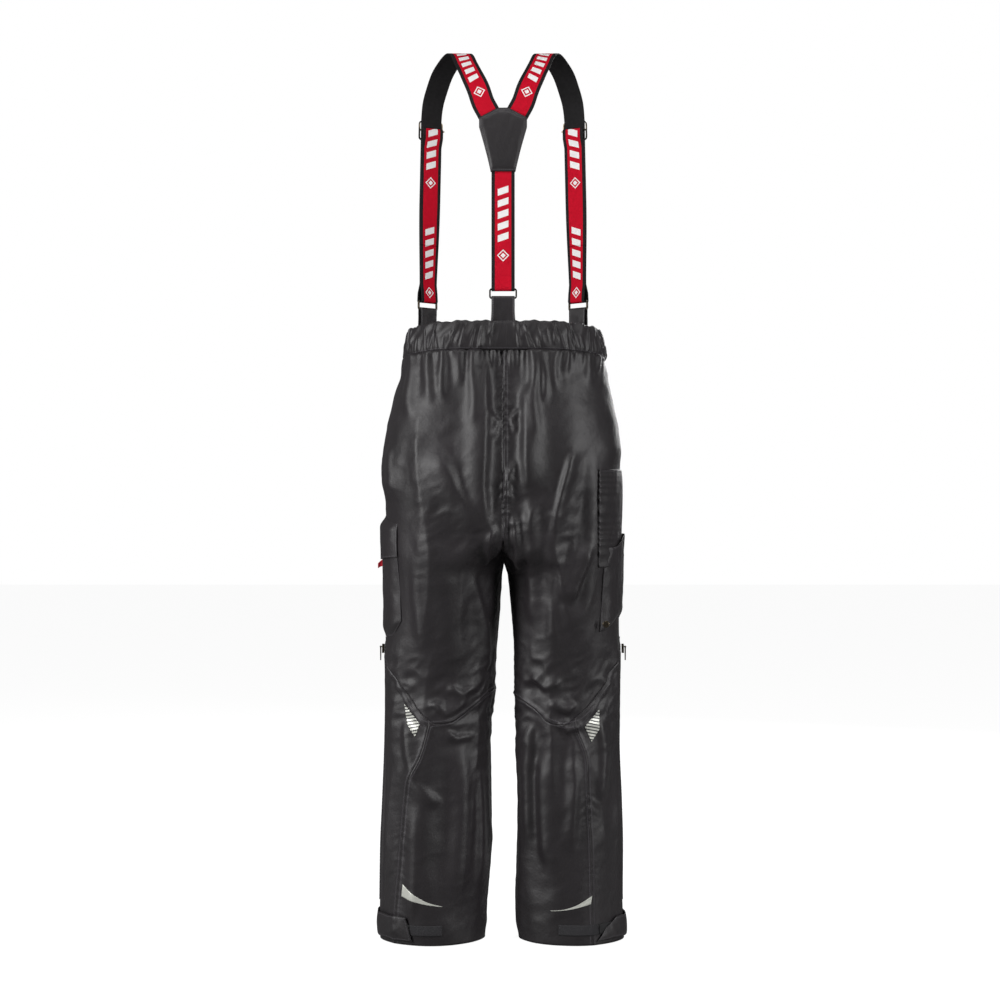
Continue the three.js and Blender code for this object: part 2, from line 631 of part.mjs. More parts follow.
// [along, depth] down the front, round the ring's bar, up inside and round the adjuster's middle bar.
function runPoints() {
  const round = (along, depth, rAlong, rDepth, from, to) =>
    seamSteps(from, to, 10).map((a) => [
      along + rAlong * Math.sin(a * DEGREES),
      depth + rDepth * Math.cos(a * DEGREES),
    ]);
  return [
    ...seamSteps(ADJUSTER_ALONG - 30, 40, 8).map((along) => [along, 0]),
    [14, foldRoom - 1],
    ...round(0, 0, foldDrop, foldRoom, 0, -180),
    [14, 1 - foldRoom],
    ...seamSteps(40, ADJUSTER_ALONG - 48, 7).map((along) => [along, -layers]),
    [ADJUSTER_ALONG - 14, barDepth - barEye],
    ...round(ADJUSTER_ALONG, barDepth, barEye, barEye, 180, 0),
    [ADJUSTER_ALONG - 9, -layers],
  ];
}

// The arch over the shoulder: how far each point has come from the yoke to the adjuster, sideways and
// forwards, and how far it lies below the arch's top.
const ARCH = [
  [0.09, 0.025, 81],
  [0.194, 0.094, 57],
  [0.309, 0.208, 31],
  [0.403, 0.362, 8],
  [0.507, 0.555, 0],
  [0.653, 0.739, 8],
  [0.789, 0.858, 24],
  [0.893, 0.943, 47],
  [0.967, 0.988, 70],
];
// The middle line of a right strap from the yoke over the shoulder to the adjuster.
function shoulderPoints() {
  const [rootX, rootZ] = strapRoot;
  const inPlane = (along) =>
    toTrousers(rootX + along * Math.sin(STRAP_SPLAY), 0, YOKE_BOTTOM + rootZ + along * Math.cos(STRAP_SPLAY));
  const [from, to] = [inPlane(20), onRun(ADJUSTER_ALONG + ADJUSTER_REACH, 0)];
  const arch = ARCH.map(
    ([sideways, forwards, drop]) =>
      new Vector3(mix(from.x, to.x, sideways), mix(from.y, to.y, forwards), SHOULDER_TOP - drop),
  );
  return [inPlane(-STRAP_IN_YOKE), inPlane(4), from, ...arch, to, onRun(ADJUSTER_ALONG - 20, 0)];
}

function strapStations(side) {
  const arch = new THREE.CatmullRomCurve3(shoulderPoints(), false, "centripetal");
  const heart = new Vector3(0, 0, SHOULDER_TOP - 160); // the shoulder that the arch goes round
  const yokeFace = new Vector3(0, -1, BACK_LEAN).normalize();
  const runFace = runFrame(ADJUSTER_ALONG).face;
  const archStations = seamSteps(0, 1, 34).map((t) => {
    const middle = arch.getPointAt(t);
    const along = arch.getTangentAt(t);
    const away = new Vector3(0, middle.y - heart.y, middle.z - heart.z).normalize();
    away.lerp(yokeFace, THREE.MathUtils.clamp(1.5 - t / 0.16, 0, 1));
    away.lerp(runFace, THREE.MathUtils.clamp((t - 0.6) / 0.28, 0, 1));
    const face = away.addScaledVector(along, -away.dot(along)).normalize();
    return { middle, face, across: new Vector3().crossVectors(along, face).normalize() };
  });
  const places = runPoints().map(([along, depth]) => onRun(along, depth));
  const runStations = runPoints().map(([along], i) => {
    const across = runFrame(along).across;
    const direction = places[Math.min(places.length - 1, i + 1)].clone().sub(places[Math.max(0, i - 1)]);
    return { middle: places[i], across, face: new Vector3().crossVectors(across, direction).normalize() };
  });
  return [...archStations, ...runStations].map(({ middle, across, face }) => ({
    middle: new Vector3(side * middle.x, middle.y, middle.z),
    across: new Vector3(side * across.x, across.y, across.z),
    face: new Vector3(side * face.x, face.y, face.z),
    width: WEBBING_WIDTH,
  }));
}

function adjusterGeometry() {
  const window = [WEBBING_WIDTH + 2.4, ADJUSTER_HEIGHT - 2 * ADJUSTER_WIRE];
  const frame = wireFrame(window[0], window[1], ADJUSTER_WIRE, 4);
  const outside = window[0] + 2 * ADJUSTER_WIRE;
  const bar = new BoxGeometry(outside, ADJUSTER_WIRE, ADJUSTER_WIRE).translate(0, barDepth - frameDepth, 0);
  const reach = frameDepth - barDepth + ADJUSTER_WIRE;
  const posts = [-1, 1].map((s) =>
    new BoxGeometry(ADJUSTER_WIRE, reach, ADJUSTER_WIRE).translate(
      (s * (outside - ADJUSTER_WIRE)) / 2,
      (barDepth - frameDepth) / 2,
      0,
    ),
  );
  return join(frame, bar, ...posts);
}
for (const [word, side] of SIDES) {
  add(`shoulder_strap_${word}`, ribbon(strapStations(side), WEBBING_THICKNESS), RED_WEBBING);
  const { up, face } = runFrame(ADJUSTER_ALONG);
  const place = onRun(ADJUSTER_ALONG, frameDepth);
  const [sideUp, sideFace] = [up, face].map((v) => new Vector3(side * v.x, v.y, v.z));
  const adjuster = add(`adjuster_${word}`, adjusterGeometry(), GUNMETAL);
  adjuster.position.set(side * place.x, place.y, place.z);
  adjuster.quaternion.setFromRotationMatrix(
    new THREE.Matrix4().makeBasis(new Vector3().crossVectors(sideFace, sideUp), sideFace, sideUp),
  );
}

// ---------------------------------------------------------------- bellows pocket, left thigh
const POCKET_BOTTOM = LEG_LENGTH - 149;
const POCKET_TOP = LEG_LENGTH + 28;
const POCKET_BACK = -50 * DEGREES;
const POCKET_FRONT = 40 * DEGREES;
const FLAP_TOP = LEG_LENGTH + 56;
const FLAP_BOTTOM = LEG_LENGTH - 16;
const FLAP_THICKNESS = 2;
const POCKET_INSET = (1.6 * POCKET_WALL) / HIP_HALF_DEPTH; // the wall as an angle, at the side's sharper bend
const POCKET_STEPS = [12, 6]; // round the leg and up it
const EDGE_SHARE = 0.55; // the pocket's depth at its edges, as a share of its full depth
const EDGE_RISE = 2.2; // how quickly the depth grows away from them

function bag(side, back, front, bottom, top, depth) {
  const crown = (s) => LIFT + depth * Math.min(1, EDGE_SHARE + EDGE_RISE * Math.min(s, 1 - s));
  const outside = shellPatch(
    side,
    (s, t) => [mix(back, front, s), mix(bottom, top, t)],
    LIFT,
    crown,
    ...POCKET_STEPS,
  );
  const inside = shellPatch(
    side,
    (s, t) => [
      mix(back + POCKET_INSET, front - POCKET_INSET, s),
      mix(bottom + POCKET_WALL, top + FLOOR_MARGIN, t),
    ],
    LIFT + POCKET_WALL,
    (s) => crown(s) - POCKET_WALL,
    ...POCKET_STEPS,
  );
  return cut(outside, inside);
}
const bellows = bag(LEFT, POCKET_BACK, POCKET_FRONT, POCKET_BOTTOM, POCKET_TOP, POCKET_DEPTH);
add("bellows_pocket", bellows, COATED_NYLON);

const FLAP_SIDE = 0.01; // how far the flap reaches past the pocket at each side, as an angle
const FLAP_SHOULDER = 0.22; // the share of the flap's height that slopes out over the pocket
const flapOffset = (t) => LIFT + 1 + (POCKET_DEPTH + 2 * GAP) * Math.min(1, (1 - t) / FLAP_SHOULDER);
add(
  "pocket_flap",
  shellPatch(
    LEFT,
    (s, t) => [
      mix(POCKET_BACK - FLAP_SIDE, POCKET_FRONT + FLAP_SIDE, s),
      mix(FLAP_BOTTOM, FLAP_TOP, t),
    ],
    (s, t) => flapOffset(t),
    (s, t) => flapOffset(t) + FLAP_THICKNESS,
    12,
    8,
  ),
  COATED_NYLON,
);
// A folded fabric label, sewn into the pocket's outer face just below the flap.
const LABEL_SIZE = [9, 1.2, 13];
const LABEL_ANGLE = 0.05;
const LABEL_BELOW_FLAP = 9; // its middle
const labelPlace = onShell(
  LEFT,
  LABEL_ANGLE,
  FLAP_BOTTOM - LABEL_BELOW_FLAP,
  LIFT + POCKET_DEPTH + LABEL_SIZE[0] / 2 + GAP,
);
add("pocket_label", new BoxGeometry(...LABEL_SIZE), RED_WEBBING).position.copy(labelPlace);

// ---------------------------------------------------------------- rule pocket, right thigh
const RULE_BOTTOM = LEG_LENGTH - 156;
const RULE_TOP = LEG_LENGTH + 8;
const BACKING_TOP = LEG_LENGTH + 139;
const BACKING_CLOTH = 1.2;
const RULE_BACK = -57 * DEGREES;
const RULE_FRONT = 30 * DEGREES;
const rulePocket = bag(RIGHT, RULE_BACK, RULE_FRONT, RULE_BOTTOM, RULE_TOP, RULE_POCKET_DEPTH);
add("rule_pocket", rulePocket, COATED_NYLON);
add(
  "rule_pocket_backing",
  shellPatch(
    RIGHT,
    (s, t) => [mix(RULE_BACK, RULE_FRONT, s), mix(RULE_TOP + GAP, BACKING_TOP, t)],
    LIFT,
    LIFT + BACKING_CLOTH,
    ...POCKET_STEPS,
  ),
  COATED_NYLON,
);
const BUTTON_RADIUS = 6;
const BUTTON_HEIGHT = 4;
const BUTTON_ABOVE_BOTTOM = 27;
const BUTTON_FROM_EDGE = 0.09; // as an angle
const BUTTON_STAND = 6.5; // the round face stands clear of the slanting pocket
const buttonAt = onShell(
  RIGHT,
  RULE_BACK + BUTTON_FROM_EDGE,
  RULE_BOTTOM + BUTTON_ABOVE_BOTTOM,
  LIFT + 0.8 * RULE_POCKET_DEPTH,
);
add(
  "tool_button",
  new THREE.CylinderGeometry(BUTTON_RADIUS, BUTTON_RADIUS, BUTTON_HEIGHT, 24),
  GUNMETAL,
).position.set(buttonAt.x, buttonAt.y - BUTTON_STAND - BUTTON_HEIGHT / 2, buttonAt.z);

// ---------------------------------------------------------------- leg zips
// The zips lie on the outer side lines.
const ZIP_TAPE_CLOTH = 0.8;
const CHAIN_LOW = LIFT + ZIP_TAPE_CLOTH + GAP;
const CHAIN_HIGH = CHAIN_LOW + 1.6;
const CHAIN_SHORTER = 2; // than its tape, at each end
const STORM_FLAP = { from: 1, width: 20, thickness: 1.5, above: 10 }; // beside the tape, in front of it
const SLIDER_LENGTH = 16;
const SLIDER_WIDTH = 10;
const SLIDER_PLATE = 2;
const SLIDER_BELOW_TOP = 10; // its middle, below the zip's upper end
const BAIL = { radius: 0.7, height: 2.6, halfWidth: 2.6, aboveMiddle: 3 };
const PULLER_LENGTH = 24;
const PULLER_WIDTH = 3.4;
const PULLER_THICKNESS = 1.8;
const PULLER_EYE = 1.0;

const zipLine = (side, height, offset) => onShell(side, 0, height, offset);
function strip(side, halfWidth, from, to, bottom, top, rows) {
  return shellPatch(
    side,
    (s, t) => [mix(-halfWidth, halfWidth, s) / halfDepth(mix(bottom, top, t)), mix(bottom, top, t)],
    from,
    to,
    rows,
    10,
  );
}
// A slider over the chain, with a bail for the puller; local X points off the leg.
function sliderGeometry() {
  const [w, chain] = [SLIDER_WIDTH / 2, ZIP_CHAIN_WIDTH / 2 + 0.6];
  const top = SLIDER_PLATE;
  const under = CHAIN_LOW - CHAIN_HIGH - GAP;
  const section = new Shape(
    [
      [0, -chain],
      [under, -chain],
      [under, -w],
      [top, -w],
      [top, w],
      [under, w],
      [under, chain],
      [0, chain],
    ].map(([x, y]) => new THREE.Vector2(x, y)),
  );
  const channel = new ExtrudeGeometry(section, { depth: SLIDER_LENGTH, bevelEnabled: false });
  const body = outward(mergeVertices(plain(channel.translate(0, 0, -SLIDER_LENGTH / 2)), 1e-4));
  const { radius, height, halfWidth, aboveMiddle } = BAIL;
  const thick = 2 * radius;
  const bar = new BoxGeometry(thick, 2 * halfWidth + thick, thick);
  bar.translate(top + height, 0, aboveMiddle);
  const posts = [-1, 1].map((s) => {
    const post = new BoxGeometry(height + radius, thick, thick);
    return post.translate(top + (height + radius) / 2, s * halfWidth, aboveMiddle);
  });
  return join(body, bar, ...posts);
}
// A pull tab that hangs from the bail; its origin is the bail's bar.
function pullerGeometry() {
  const outline = new Shape();
  const outer = PULLER_EYE + 0.8;
  const half = PULLER_THICKNESS / 2;
  outline.absarc(0, 0, outer, -50 * DEGREES, 230 * DEGREES, false);
  outline.lineTo(-half, -PULLER_LENGTH).lineTo(half, -PULLER_LENGTH);
  outline.holes.push(new Path().absarc(0, 0, PULLER_EYE + 0.1, 0, 2 * Math.PI, true));
  const tab = new ExtrudeGeometry(outline, { depth: PULLER_WIDTH, bevelEnabled: false, curveSegments: 10 });
  return outward(mergeVertices(plain(tab.translate(0, 0, -PULLER_WIDTH / 2).rotateX(Math.PI / 2)), 1e-4));
}
for (const [word, side] of SIDES) {
  add(
    `zip_tape_${word}`,
    strip(side, ZIP_TAPE_WIDTH / 2, LIFT, LIFT + ZIP_TAPE_CLOTH, ZIP_BOTTOM, ZIP_TOP, 4),
    BLACK_ZIP,
  );
  const [chainBottom, chainTop] = [ZIP_BOTTOM + CHAIN_SHORTER, ZIP_TOP - CHAIN_SHORTER];
  add(
    `zip_chain_${word}`,
    strip(side, ZIP_CHAIN_WIDTH / 2, CHAIN_LOW, CHAIN_HIGH, chainBottom, chainTop, 1),
    BLACK_ZIP,
  );
  add(
    `storm_flap_${word}`,
    shellPatch(
      side,
      (s, t) => {
        const height = mix(ZIP_BOTTOM, ZIP_TOP + STORM_FLAP.above, t);
        const forward = ZIP_TAPE_WIDTH / 2 + STORM_FLAP.from + STORM_FLAP.width * s;
        return [forward / halfDepth(height), height];
      },
      LIFT,
      LIFT + STORM_FLAP.thickness,
      3,
      10,
    ),
    COATED_NYLON,
  );
  const height = ZIP_TOP - SLIDER_BELOW_TOP;
  const seat = zipLine(side, height, CHAIN_HIGH + GAP);
  const lean = Math.atan(sideSlope);
  const slider = add(`zip_slider_${word}`, sliderGeometry(), GUNMETAL);
  slider.position.copy(seat);
  slider.rotation.set(0, lean, side > 0 ? 0 : Math.PI, side > 0 ? "XYZ" : "ZXY");
  const barOffset = SLIDER_PLATE + BAIL.height;
  const bar = new Vector3(barOffset, 0, BAIL.aboveMiddle).applyEuler(slider.rotation).add(seat);
  add(`zip_puller_${word}`, pullerGeometry(), GUNMETAL).position.copy(bar);
}

// ---------------------------------------------------------------- hem tabs with hook and loop
const HEM_TAB_BOTTOM = 9;
const HEM_TAB_HEIGHT = 36;
const HEM_TAB_BACK = -58 * DEGREES;
const HEM_TAB_FRONT = 35 * DEGREES;
const HEM_TAB_THICKNESS = 1.8;
const HOOK_HEIGHT = 18;
const HOOK_THICKNESS = 1.0;
const HOOK_FROM = 0.04; // the hook patch's ends, as angles from the tab's back end
const HOOK_TO = 0.44;
const LOOP_THICKNESS = 1.0;
const LOOP_END = -95 * DEGREES;
const LOOP_START = -20 * DEGREES;
const hookLow = LIFT + LOOP_THICKNESS + 2 * GAP;
const tabLow = hookLow + HOOK_THICKNESS + 2 * GAP;
const hookMiddle = HEM_TAB_BOTTOM + HEM_TAB_HEIGHT / 2;

for (const [word, side] of SIDES) {
  add(
    `loop_strip_${word}`,
    shellPatch(
      side,
      (s, t) => [mix(LOOP_END, LOOP_START, s), hookMiddle + (t - 0.5) * HOOK_HEIGHT],
      LIFT,
      LIFT + LOOP_THICKNESS,
      10,
      1,
    ),
    HOOK_TAPE,
  );
  add(
    `hook_patch_${word}`,
    shellPatch(
      side,
      (s, t) => [HEM_TAB_BACK + mix(HOOK_FROM, HOOK_TO, s), hookMiddle + (t - 0.5) * HOOK_HEIGHT],
      hookLow,
      hookLow + HOOK_THICKNESS,
      4,
      1,
    ),
    HOOK_TAPE,
  );
  add(
    `hem_tab_${word}`,
    shellPatch(
      side,
      (s, t) => [mix(HEM_TAB_BACK, HEM_TAB_FRONT, s), HEM_TAB_BOTTOM + t * HEM_TAB_HEIGHT],
      tabLow,
      tabLow + HEM_TAB_THICKNESS,
      12,
      1,
    ),
    COATED_NYLON,
  );
}

// ---------------------------------------------------------------- reflectors
const REFLECTOR_FILM = 0.5;
const KITE = { top: 417, widest: 385, bottom: 360, width: 17, topX: 170, tipX: 143, lean: 9, least: 1.5 };
const SWOOSH = { startAt: 88, tipAt: 65, startHeight: 17, tipHeight: 1, fromEdge: 52, toEdge: 122 };

for (const [word, side] of SIDES) {
  add(
    `knee_reflector_${word}`,
    shellPatch(
      side,
      (s, t) => {
        const height = mix(KITE.bottom, KITE.top, t);
        const rising = Math.min(1, (KITE.top - height) / (KITE.top - KITE.widest));
        const falling = Math.min(1, (height - KITE.bottom) / (KITE.widest - KITE.bottom));
        const width = KITE.least + KITE.width * Math.min(rising, falling);
        const inner = mix(KITE.topX, KITE.tipX, rising) + (1 - falling) * KITE.lean;
        return [backAngle(inner + s * width, height), height];
      },
      LIFT,
      LIFT + REFLECTOR_FILM,
      2,
      10,
    ),
    REFLECTIVE,
  );
  add(
    `hem_reflector_${word}`,
    shellPatch(
      side,
      (s, t) => {
        const fade = (1 - s) ** 1.4;
        const middle = mix(SWOOSH.tipAt, SWOOSH.startAt, fade);
        const height = middle + (t - 0.5) * (SWOOSH.tipHeight + SWOOSH.startHeight * fade);
        return [backAngle(HEM_HALF_SPAN - mix(SWOOSH.fromEdge, SWOOSH.toEdge, s), height), height];
      },
      LIFT,
      LIFT + REFLECTOR_FILM,
      10,
      2,
    ),
    REFLECTIVE,
  );
}

export default trousers;
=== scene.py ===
"""Looks of the shell work trousers with elastic Y-back braces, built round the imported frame."""

import math

import bmesh
import bpy
import numpy as np
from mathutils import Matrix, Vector
from mathutils.bvhtree import BVHTree


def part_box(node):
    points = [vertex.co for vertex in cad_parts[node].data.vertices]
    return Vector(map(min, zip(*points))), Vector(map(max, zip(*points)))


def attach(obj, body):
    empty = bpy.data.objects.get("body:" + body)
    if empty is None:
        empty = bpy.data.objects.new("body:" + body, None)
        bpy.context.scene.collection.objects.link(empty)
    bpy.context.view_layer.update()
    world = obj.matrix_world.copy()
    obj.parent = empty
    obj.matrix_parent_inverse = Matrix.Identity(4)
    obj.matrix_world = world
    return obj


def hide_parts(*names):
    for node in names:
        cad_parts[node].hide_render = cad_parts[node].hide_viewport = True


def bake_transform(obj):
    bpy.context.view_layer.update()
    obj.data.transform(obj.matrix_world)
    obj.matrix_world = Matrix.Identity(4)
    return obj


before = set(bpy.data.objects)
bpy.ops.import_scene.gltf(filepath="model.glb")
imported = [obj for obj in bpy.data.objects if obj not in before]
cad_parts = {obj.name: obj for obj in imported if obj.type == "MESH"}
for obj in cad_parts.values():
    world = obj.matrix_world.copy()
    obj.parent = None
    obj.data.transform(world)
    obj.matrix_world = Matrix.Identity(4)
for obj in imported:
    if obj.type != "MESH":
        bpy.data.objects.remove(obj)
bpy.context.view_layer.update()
bpy.ops.object.select_all(action="DESELECT")

MM = 0.001
LEFT, RIGHT = -1, 1
SIDES = (("left", LEFT), ("right", RIGHT))

# Cloth thicknesses, in metres.
SHELL_CLOTH = 0.0007
WEBBING, WEBBING_WALL = 0.040, 0.0017

# ------------------------------------------------------------------ places taken from the frame
HEM_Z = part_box("lower_back_panel_left")[0].z
WAIST_HEIGHT = -HEM_Z  # the origin is level with the waistband's edge at the sides
BAND_TOP = WAIST_HEIGHT
BAND_BOTTOM = BAND_TOP - 0.050
SPLIT = 0.720  # height at which the hips become two legs
CROTCH_DIP = 0.016


# ------------------------------------------------------------------ small helpers
def profile(pairs):
    """A smooth curve through (place, value) pairs that never overshoots them."""
    at, value = np.array(pairs, float).T
    slope = np.diff(value) / np.diff(at)
    tangent = np.concatenate([slope[:1], np.zeros(len(at) - 2), slope[-1:]])
    for i in range(1, len(at) - 1):
        product = slope[i - 1] * slope[i]
        tangent[i] = 0 if product <= 0 else 2 * product / (slope[i - 1] + slope[i])

    def curve(place):
        place = np.clip(place, at[0], at[-1])
        i = np.clip(np.searchsorted(at, place) - 1, 0, len(at) - 2)
        width = at[i + 1] - at[i]
        t = (place - at[i]) / width
        return (
            value[i] * (1 + 2 * t) * (1 - t) ** 2
            + tangent[i] * width * t * (1 - t) ** 2
            + value[i + 1] * t * t * (3 - 2 * t)
            + tangent[i + 1] * width * t * t * (t - 1)
        )

    return curve


def smooth(low, high, value):
    t = np.clip((value - low) / (high - low), 0, 1)
    return t * t * (3 - 2 * t)


def waves(points, size, seed, octaves=3, stretch=(1, 1, 1)):
    """Smooth seeded noise, about -1 to 1, whose lumps are roughly that size in metres."""
    rng = np.random.default_rng(seed)
    total, weight = np.zeros(len(points)), 0
    scaled = points / (np.array(stretch) * size)
    for octave in range(octaves):
        level = np.zeros(len(points))
        for _ in range(7):
            direction = rng.normal(size=3)
            direction *= math.pi * rng.uniform(0.7, 1.3) / np.linalg.norm(direction)
            level += np.cos(scaled @ direction * 2**octave + rng.uniform(0, 2 * math.pi))
        total += level / 2.6 * 0.5**octave
        weight += 0.5**octave
    return total / weight


# ------------------------------------------------------------------ the trousers' sections
OUTER_LEG = {
    LEFT: profile([(0, 0.2185), (0.16, 0.2165), (0.242, 0.213), (0.349, 0.209), (0.429, 0.2075),
                   (0.509, 0.2085), (0.589, 0.204), (0.669, 0.2045), (SPLIT, 0.2055)]),
    RIGHT: profile([(0, 0.2155), (0.082, 0.211), (0.162, 0.2115), (0.242, 0.2095), (0.349, 0.2055),
                    (0.429, 0.206), (0.509, 0.207), (0.589, 0.2055), (0.669, 0.206), (SPLIT, 0.2065)]),
}
INNER_LEG = {
    LEFT: profile([(0, 0.033), (0.082, 0.030), (0.162, 0.027), (0.349, 0.0275), (0.429, 0.022),
                   (0.509, 0.018), (0.589, 0.011), (0.669, 0.007), (SPLIT, 0.004)]),
    RIGHT: profile([(0, 0.030), (0.082, 0.027), (0.242, 0.028), (0.349, 0.024), (0.429, 0.0245),
                    (0.509, 0.022), (0.589, 0.0185), (0.669, 0.013), (SPLIT, 0.005)]),
}
HIP_HALF_WIDTH = profile([(SPLIT, 0.206), (0.803, 0.2075), (0.856, 0.2065), (0.883, 0.2045), (0.909, 0.2025),
                          (0.936, 0.1975), (0.963, 0.1925), (0.990, 0.187), (1.016, 0.182), (BAND_TOP, 0.174)])
END_RADIUS = profile([(SPLIT, 0.104), (0.80, 0.111), (BAND_TOP, 0.120)])
HALF_DEPTH = profile([(0, 0.082), (0.428, 0.087), (0.59, 0.111), (0.69, 0.130), (0.83, 0.146),
                      (BAND_BOTTOM, 0.129), (BAND_TOP, 0.127)])
DEPTH_SHIFT = profile([(0, 0), (0.532, 0), (0.80, -0.007), (BAND_BOTTOM, 0)])
RIM_TILT = 0.09

# Seams, seen from behind: height of the knee seam, and distance of the calf seam from the centre line.
KNEE_SEAM = {
    LEFT: profile([(0, 0.455), (0.036, 0.432), (0.069, 0.404), (0.102, 0.389), (0.129, 0.387),
                   (0.150, 0.401), (0.174, 0.436), (0.197, 0.478), (0.22, 0.53)]),
    RIGHT: profile([(0, 0.450), (0.050, 0.418), (0.068, 0.406), (0.086, 0.391), (0.107, 0.385),
                    (0.130, 0.389), (0.158, 0.412), (0.179, 0.443), (0.197, 0.488), (0.22, 0.54)]),
}
CALF_SEAM = {
    LEFT: profile([(0, 0.188), (0.05, 0.186), (0.133, 0.179), (0.203, 0.172), (0.283, 0.161), (0.331, 0.142),
                   (0.385, 0.128)]),
    RIGHT: profile([(0, 0.156), (0.17, 0.154), (0.29, 0.147), (0.32, 0.146), (0.385, 0.125)]),
}

COLUMNS = 175  # round the outer side, from the back's middle to the front's middle
INNER_COLUMNS = 44  # round the inner side of a leg
HIP_ROWS = 92
LEG_ROWS = 200
KNEE_ROW = 116
FLAT_FROM = 0.70  # share of the columns that go round the end of the hips
CALF_COLUMN_ANGLE = 72.0
CORNER = 140.0


def hip_points(side, q, height):
    """q runs from -1 at the back's middle over 0 at the side to 1 at the front's middle."""
    reach = np.abs(q)
    angle = np.radians(90 * np.clip(reach / FLAT_FROM, 0, 1))
    radius = END_RADIUS(height)
    centre = HIP_HALF_WIDTH(height) - radius
    inward = np.clip((reach - FLAT_FROM) / (1 - FLAT_FROM), 0, 1)
    x = np.where(reach <= FLAT_FROM, centre + radius * np.cos(angle), centre * (1 - inward))
    y = DEPTH_SHIFT(height) + HALF_DEPTH(height) * np.sin(angle) * np.sign(q)
    return np.stack([side * x, y, height + 0 * x], -1)


def leg_points(side, angle, height):
    outer, inner = OUTER_LEG[side](height), INNER_LEG[side](height)
    centre, radius = (outer + inner) / 2, (outer - inner) / 2
    x = centre + radius * np.cos(np.radians(angle))
    y = DEPTH_SHIFT(height) + HALF_DEPTH(height) * np.sin(np.radians(angle))
    return np.stack([side * x, y, height + 0 * x], -1)


Q = np.linspace(-1, 1, COLUMNS)
ANGLES = np.sign(Q) * np.where(
    np.abs(Q) <= FLAT_FROM,
    90 * np.abs(Q) / FLAT_FROM,
    90 + (np.abs(Q) - FLAT_FROM) / (1 - FLAT_FROM) * (CORNER - 90),
)
CALF_COLUMN = int(np.argmin(np.abs(ANGLES + CALF_COLUMN_ANGLE)))
INNER_SHARE = np.arange(1, INNER_COLUMNS + 1) / (INNER_COLUMNS + 1)


def leg_grid(side):
    """Points of a leg, rows from the hem up; columns go back, outer side, front, inner side."""
    rows = np.arange(LEG_ROWS + 1)[:, None]
    angles = np.concatenate([ANGLES, CORNER + (360 - 2 * CORNER) * INNER_SHARE])[None, :]
    knee_x = np.abs(leg_points(side, angles, np.full(angles.shape, 0.43))[..., 0])
    seam = KNEE_SEAM[side](knee_x)
    below = seam * rows / KNEE_ROW
    above = seam + (SPLIT - seam) * (rows - KNEE_ROW) / (LEG_ROWS - KNEE_ROW)
    height = np.where(rows <= KNEE_ROW, below, above)
    # The calf seam lies along one column: the columns either side of it move over.
    outer, inner = OUTER_LEG[side](height), INNER_LEG[side](height)
    seam_x = CALF_SEAM[side](height)
    share = np.clip((seam_x - (outer + inner) / 2) / ((outer - inner) / 2), -1, 1)
    target = np.degrees(np.arccos(share))
    lean = np.abs(angles)
    lean = np.where(lean > 180, 360 - lean, lean)
    grid_angle = abs(ANGLES[CALF_COLUMN])
    moved = np.where(
        lean <= grid_angle,
        lean * target / grid_angle,
        target + (lean - grid_angle) * (CORNER - target) / (CORNER - grid_angle),
    )
    moved = np.where(lean > CORNER, lean, moved)
    fade = 1 - smooth(0.0, 0.10, height - seam)
    new_lean = lean + (moved - lean) * fade
    sign = np.where(angles > 180, -1, np.sign(angles))
    turned = np.where(lean > CORNER, angles, sign * new_lean)
    leg = leg_points(side, turned, height)
    # Towards the crotch each section turns into half of the hips' section, with a wall in the middle.
    hips = np.zeros_like(leg)
    shape = height[:, :COLUMNS].shape
    hips[:, :COLUMNS] = hip_points(side, np.broadcast_to(Q, shape), np.full(shape, SPLIT))
    wall = np.cos(math.pi * INNER_SHARE)[None, :] + 0 * height[:, COLUMNS:]
    hips[:, COLUMNS:, 1] = DEPTH_SHIFT(SPLIT) + wall * HALF_DEPTH(SPLIT)
    dip = CROTCH_DIP * (1 - wall**2) ** 0.6
    blend = smooth(0.640, SPLIT, height)
    points = leg + (hips - leg) * blend[..., None]
    points[..., 2] = height
    points[:, COLUMNS:, 2] -= dip * blend[:, COLUMNS:]
    return points


HIP_COUNT = 2 * COLUMNS - 2
LEG_COUNT = COLUMNS + INNER_COLUMNS


def hip_column(side, k):
    """Index round the hips of a side's column k, which starts at the back's middle."""
    return np.where((side == RIGHT) | (k == 0) | (k == COLUMNS - 1), k, HIP_COUNT - k)


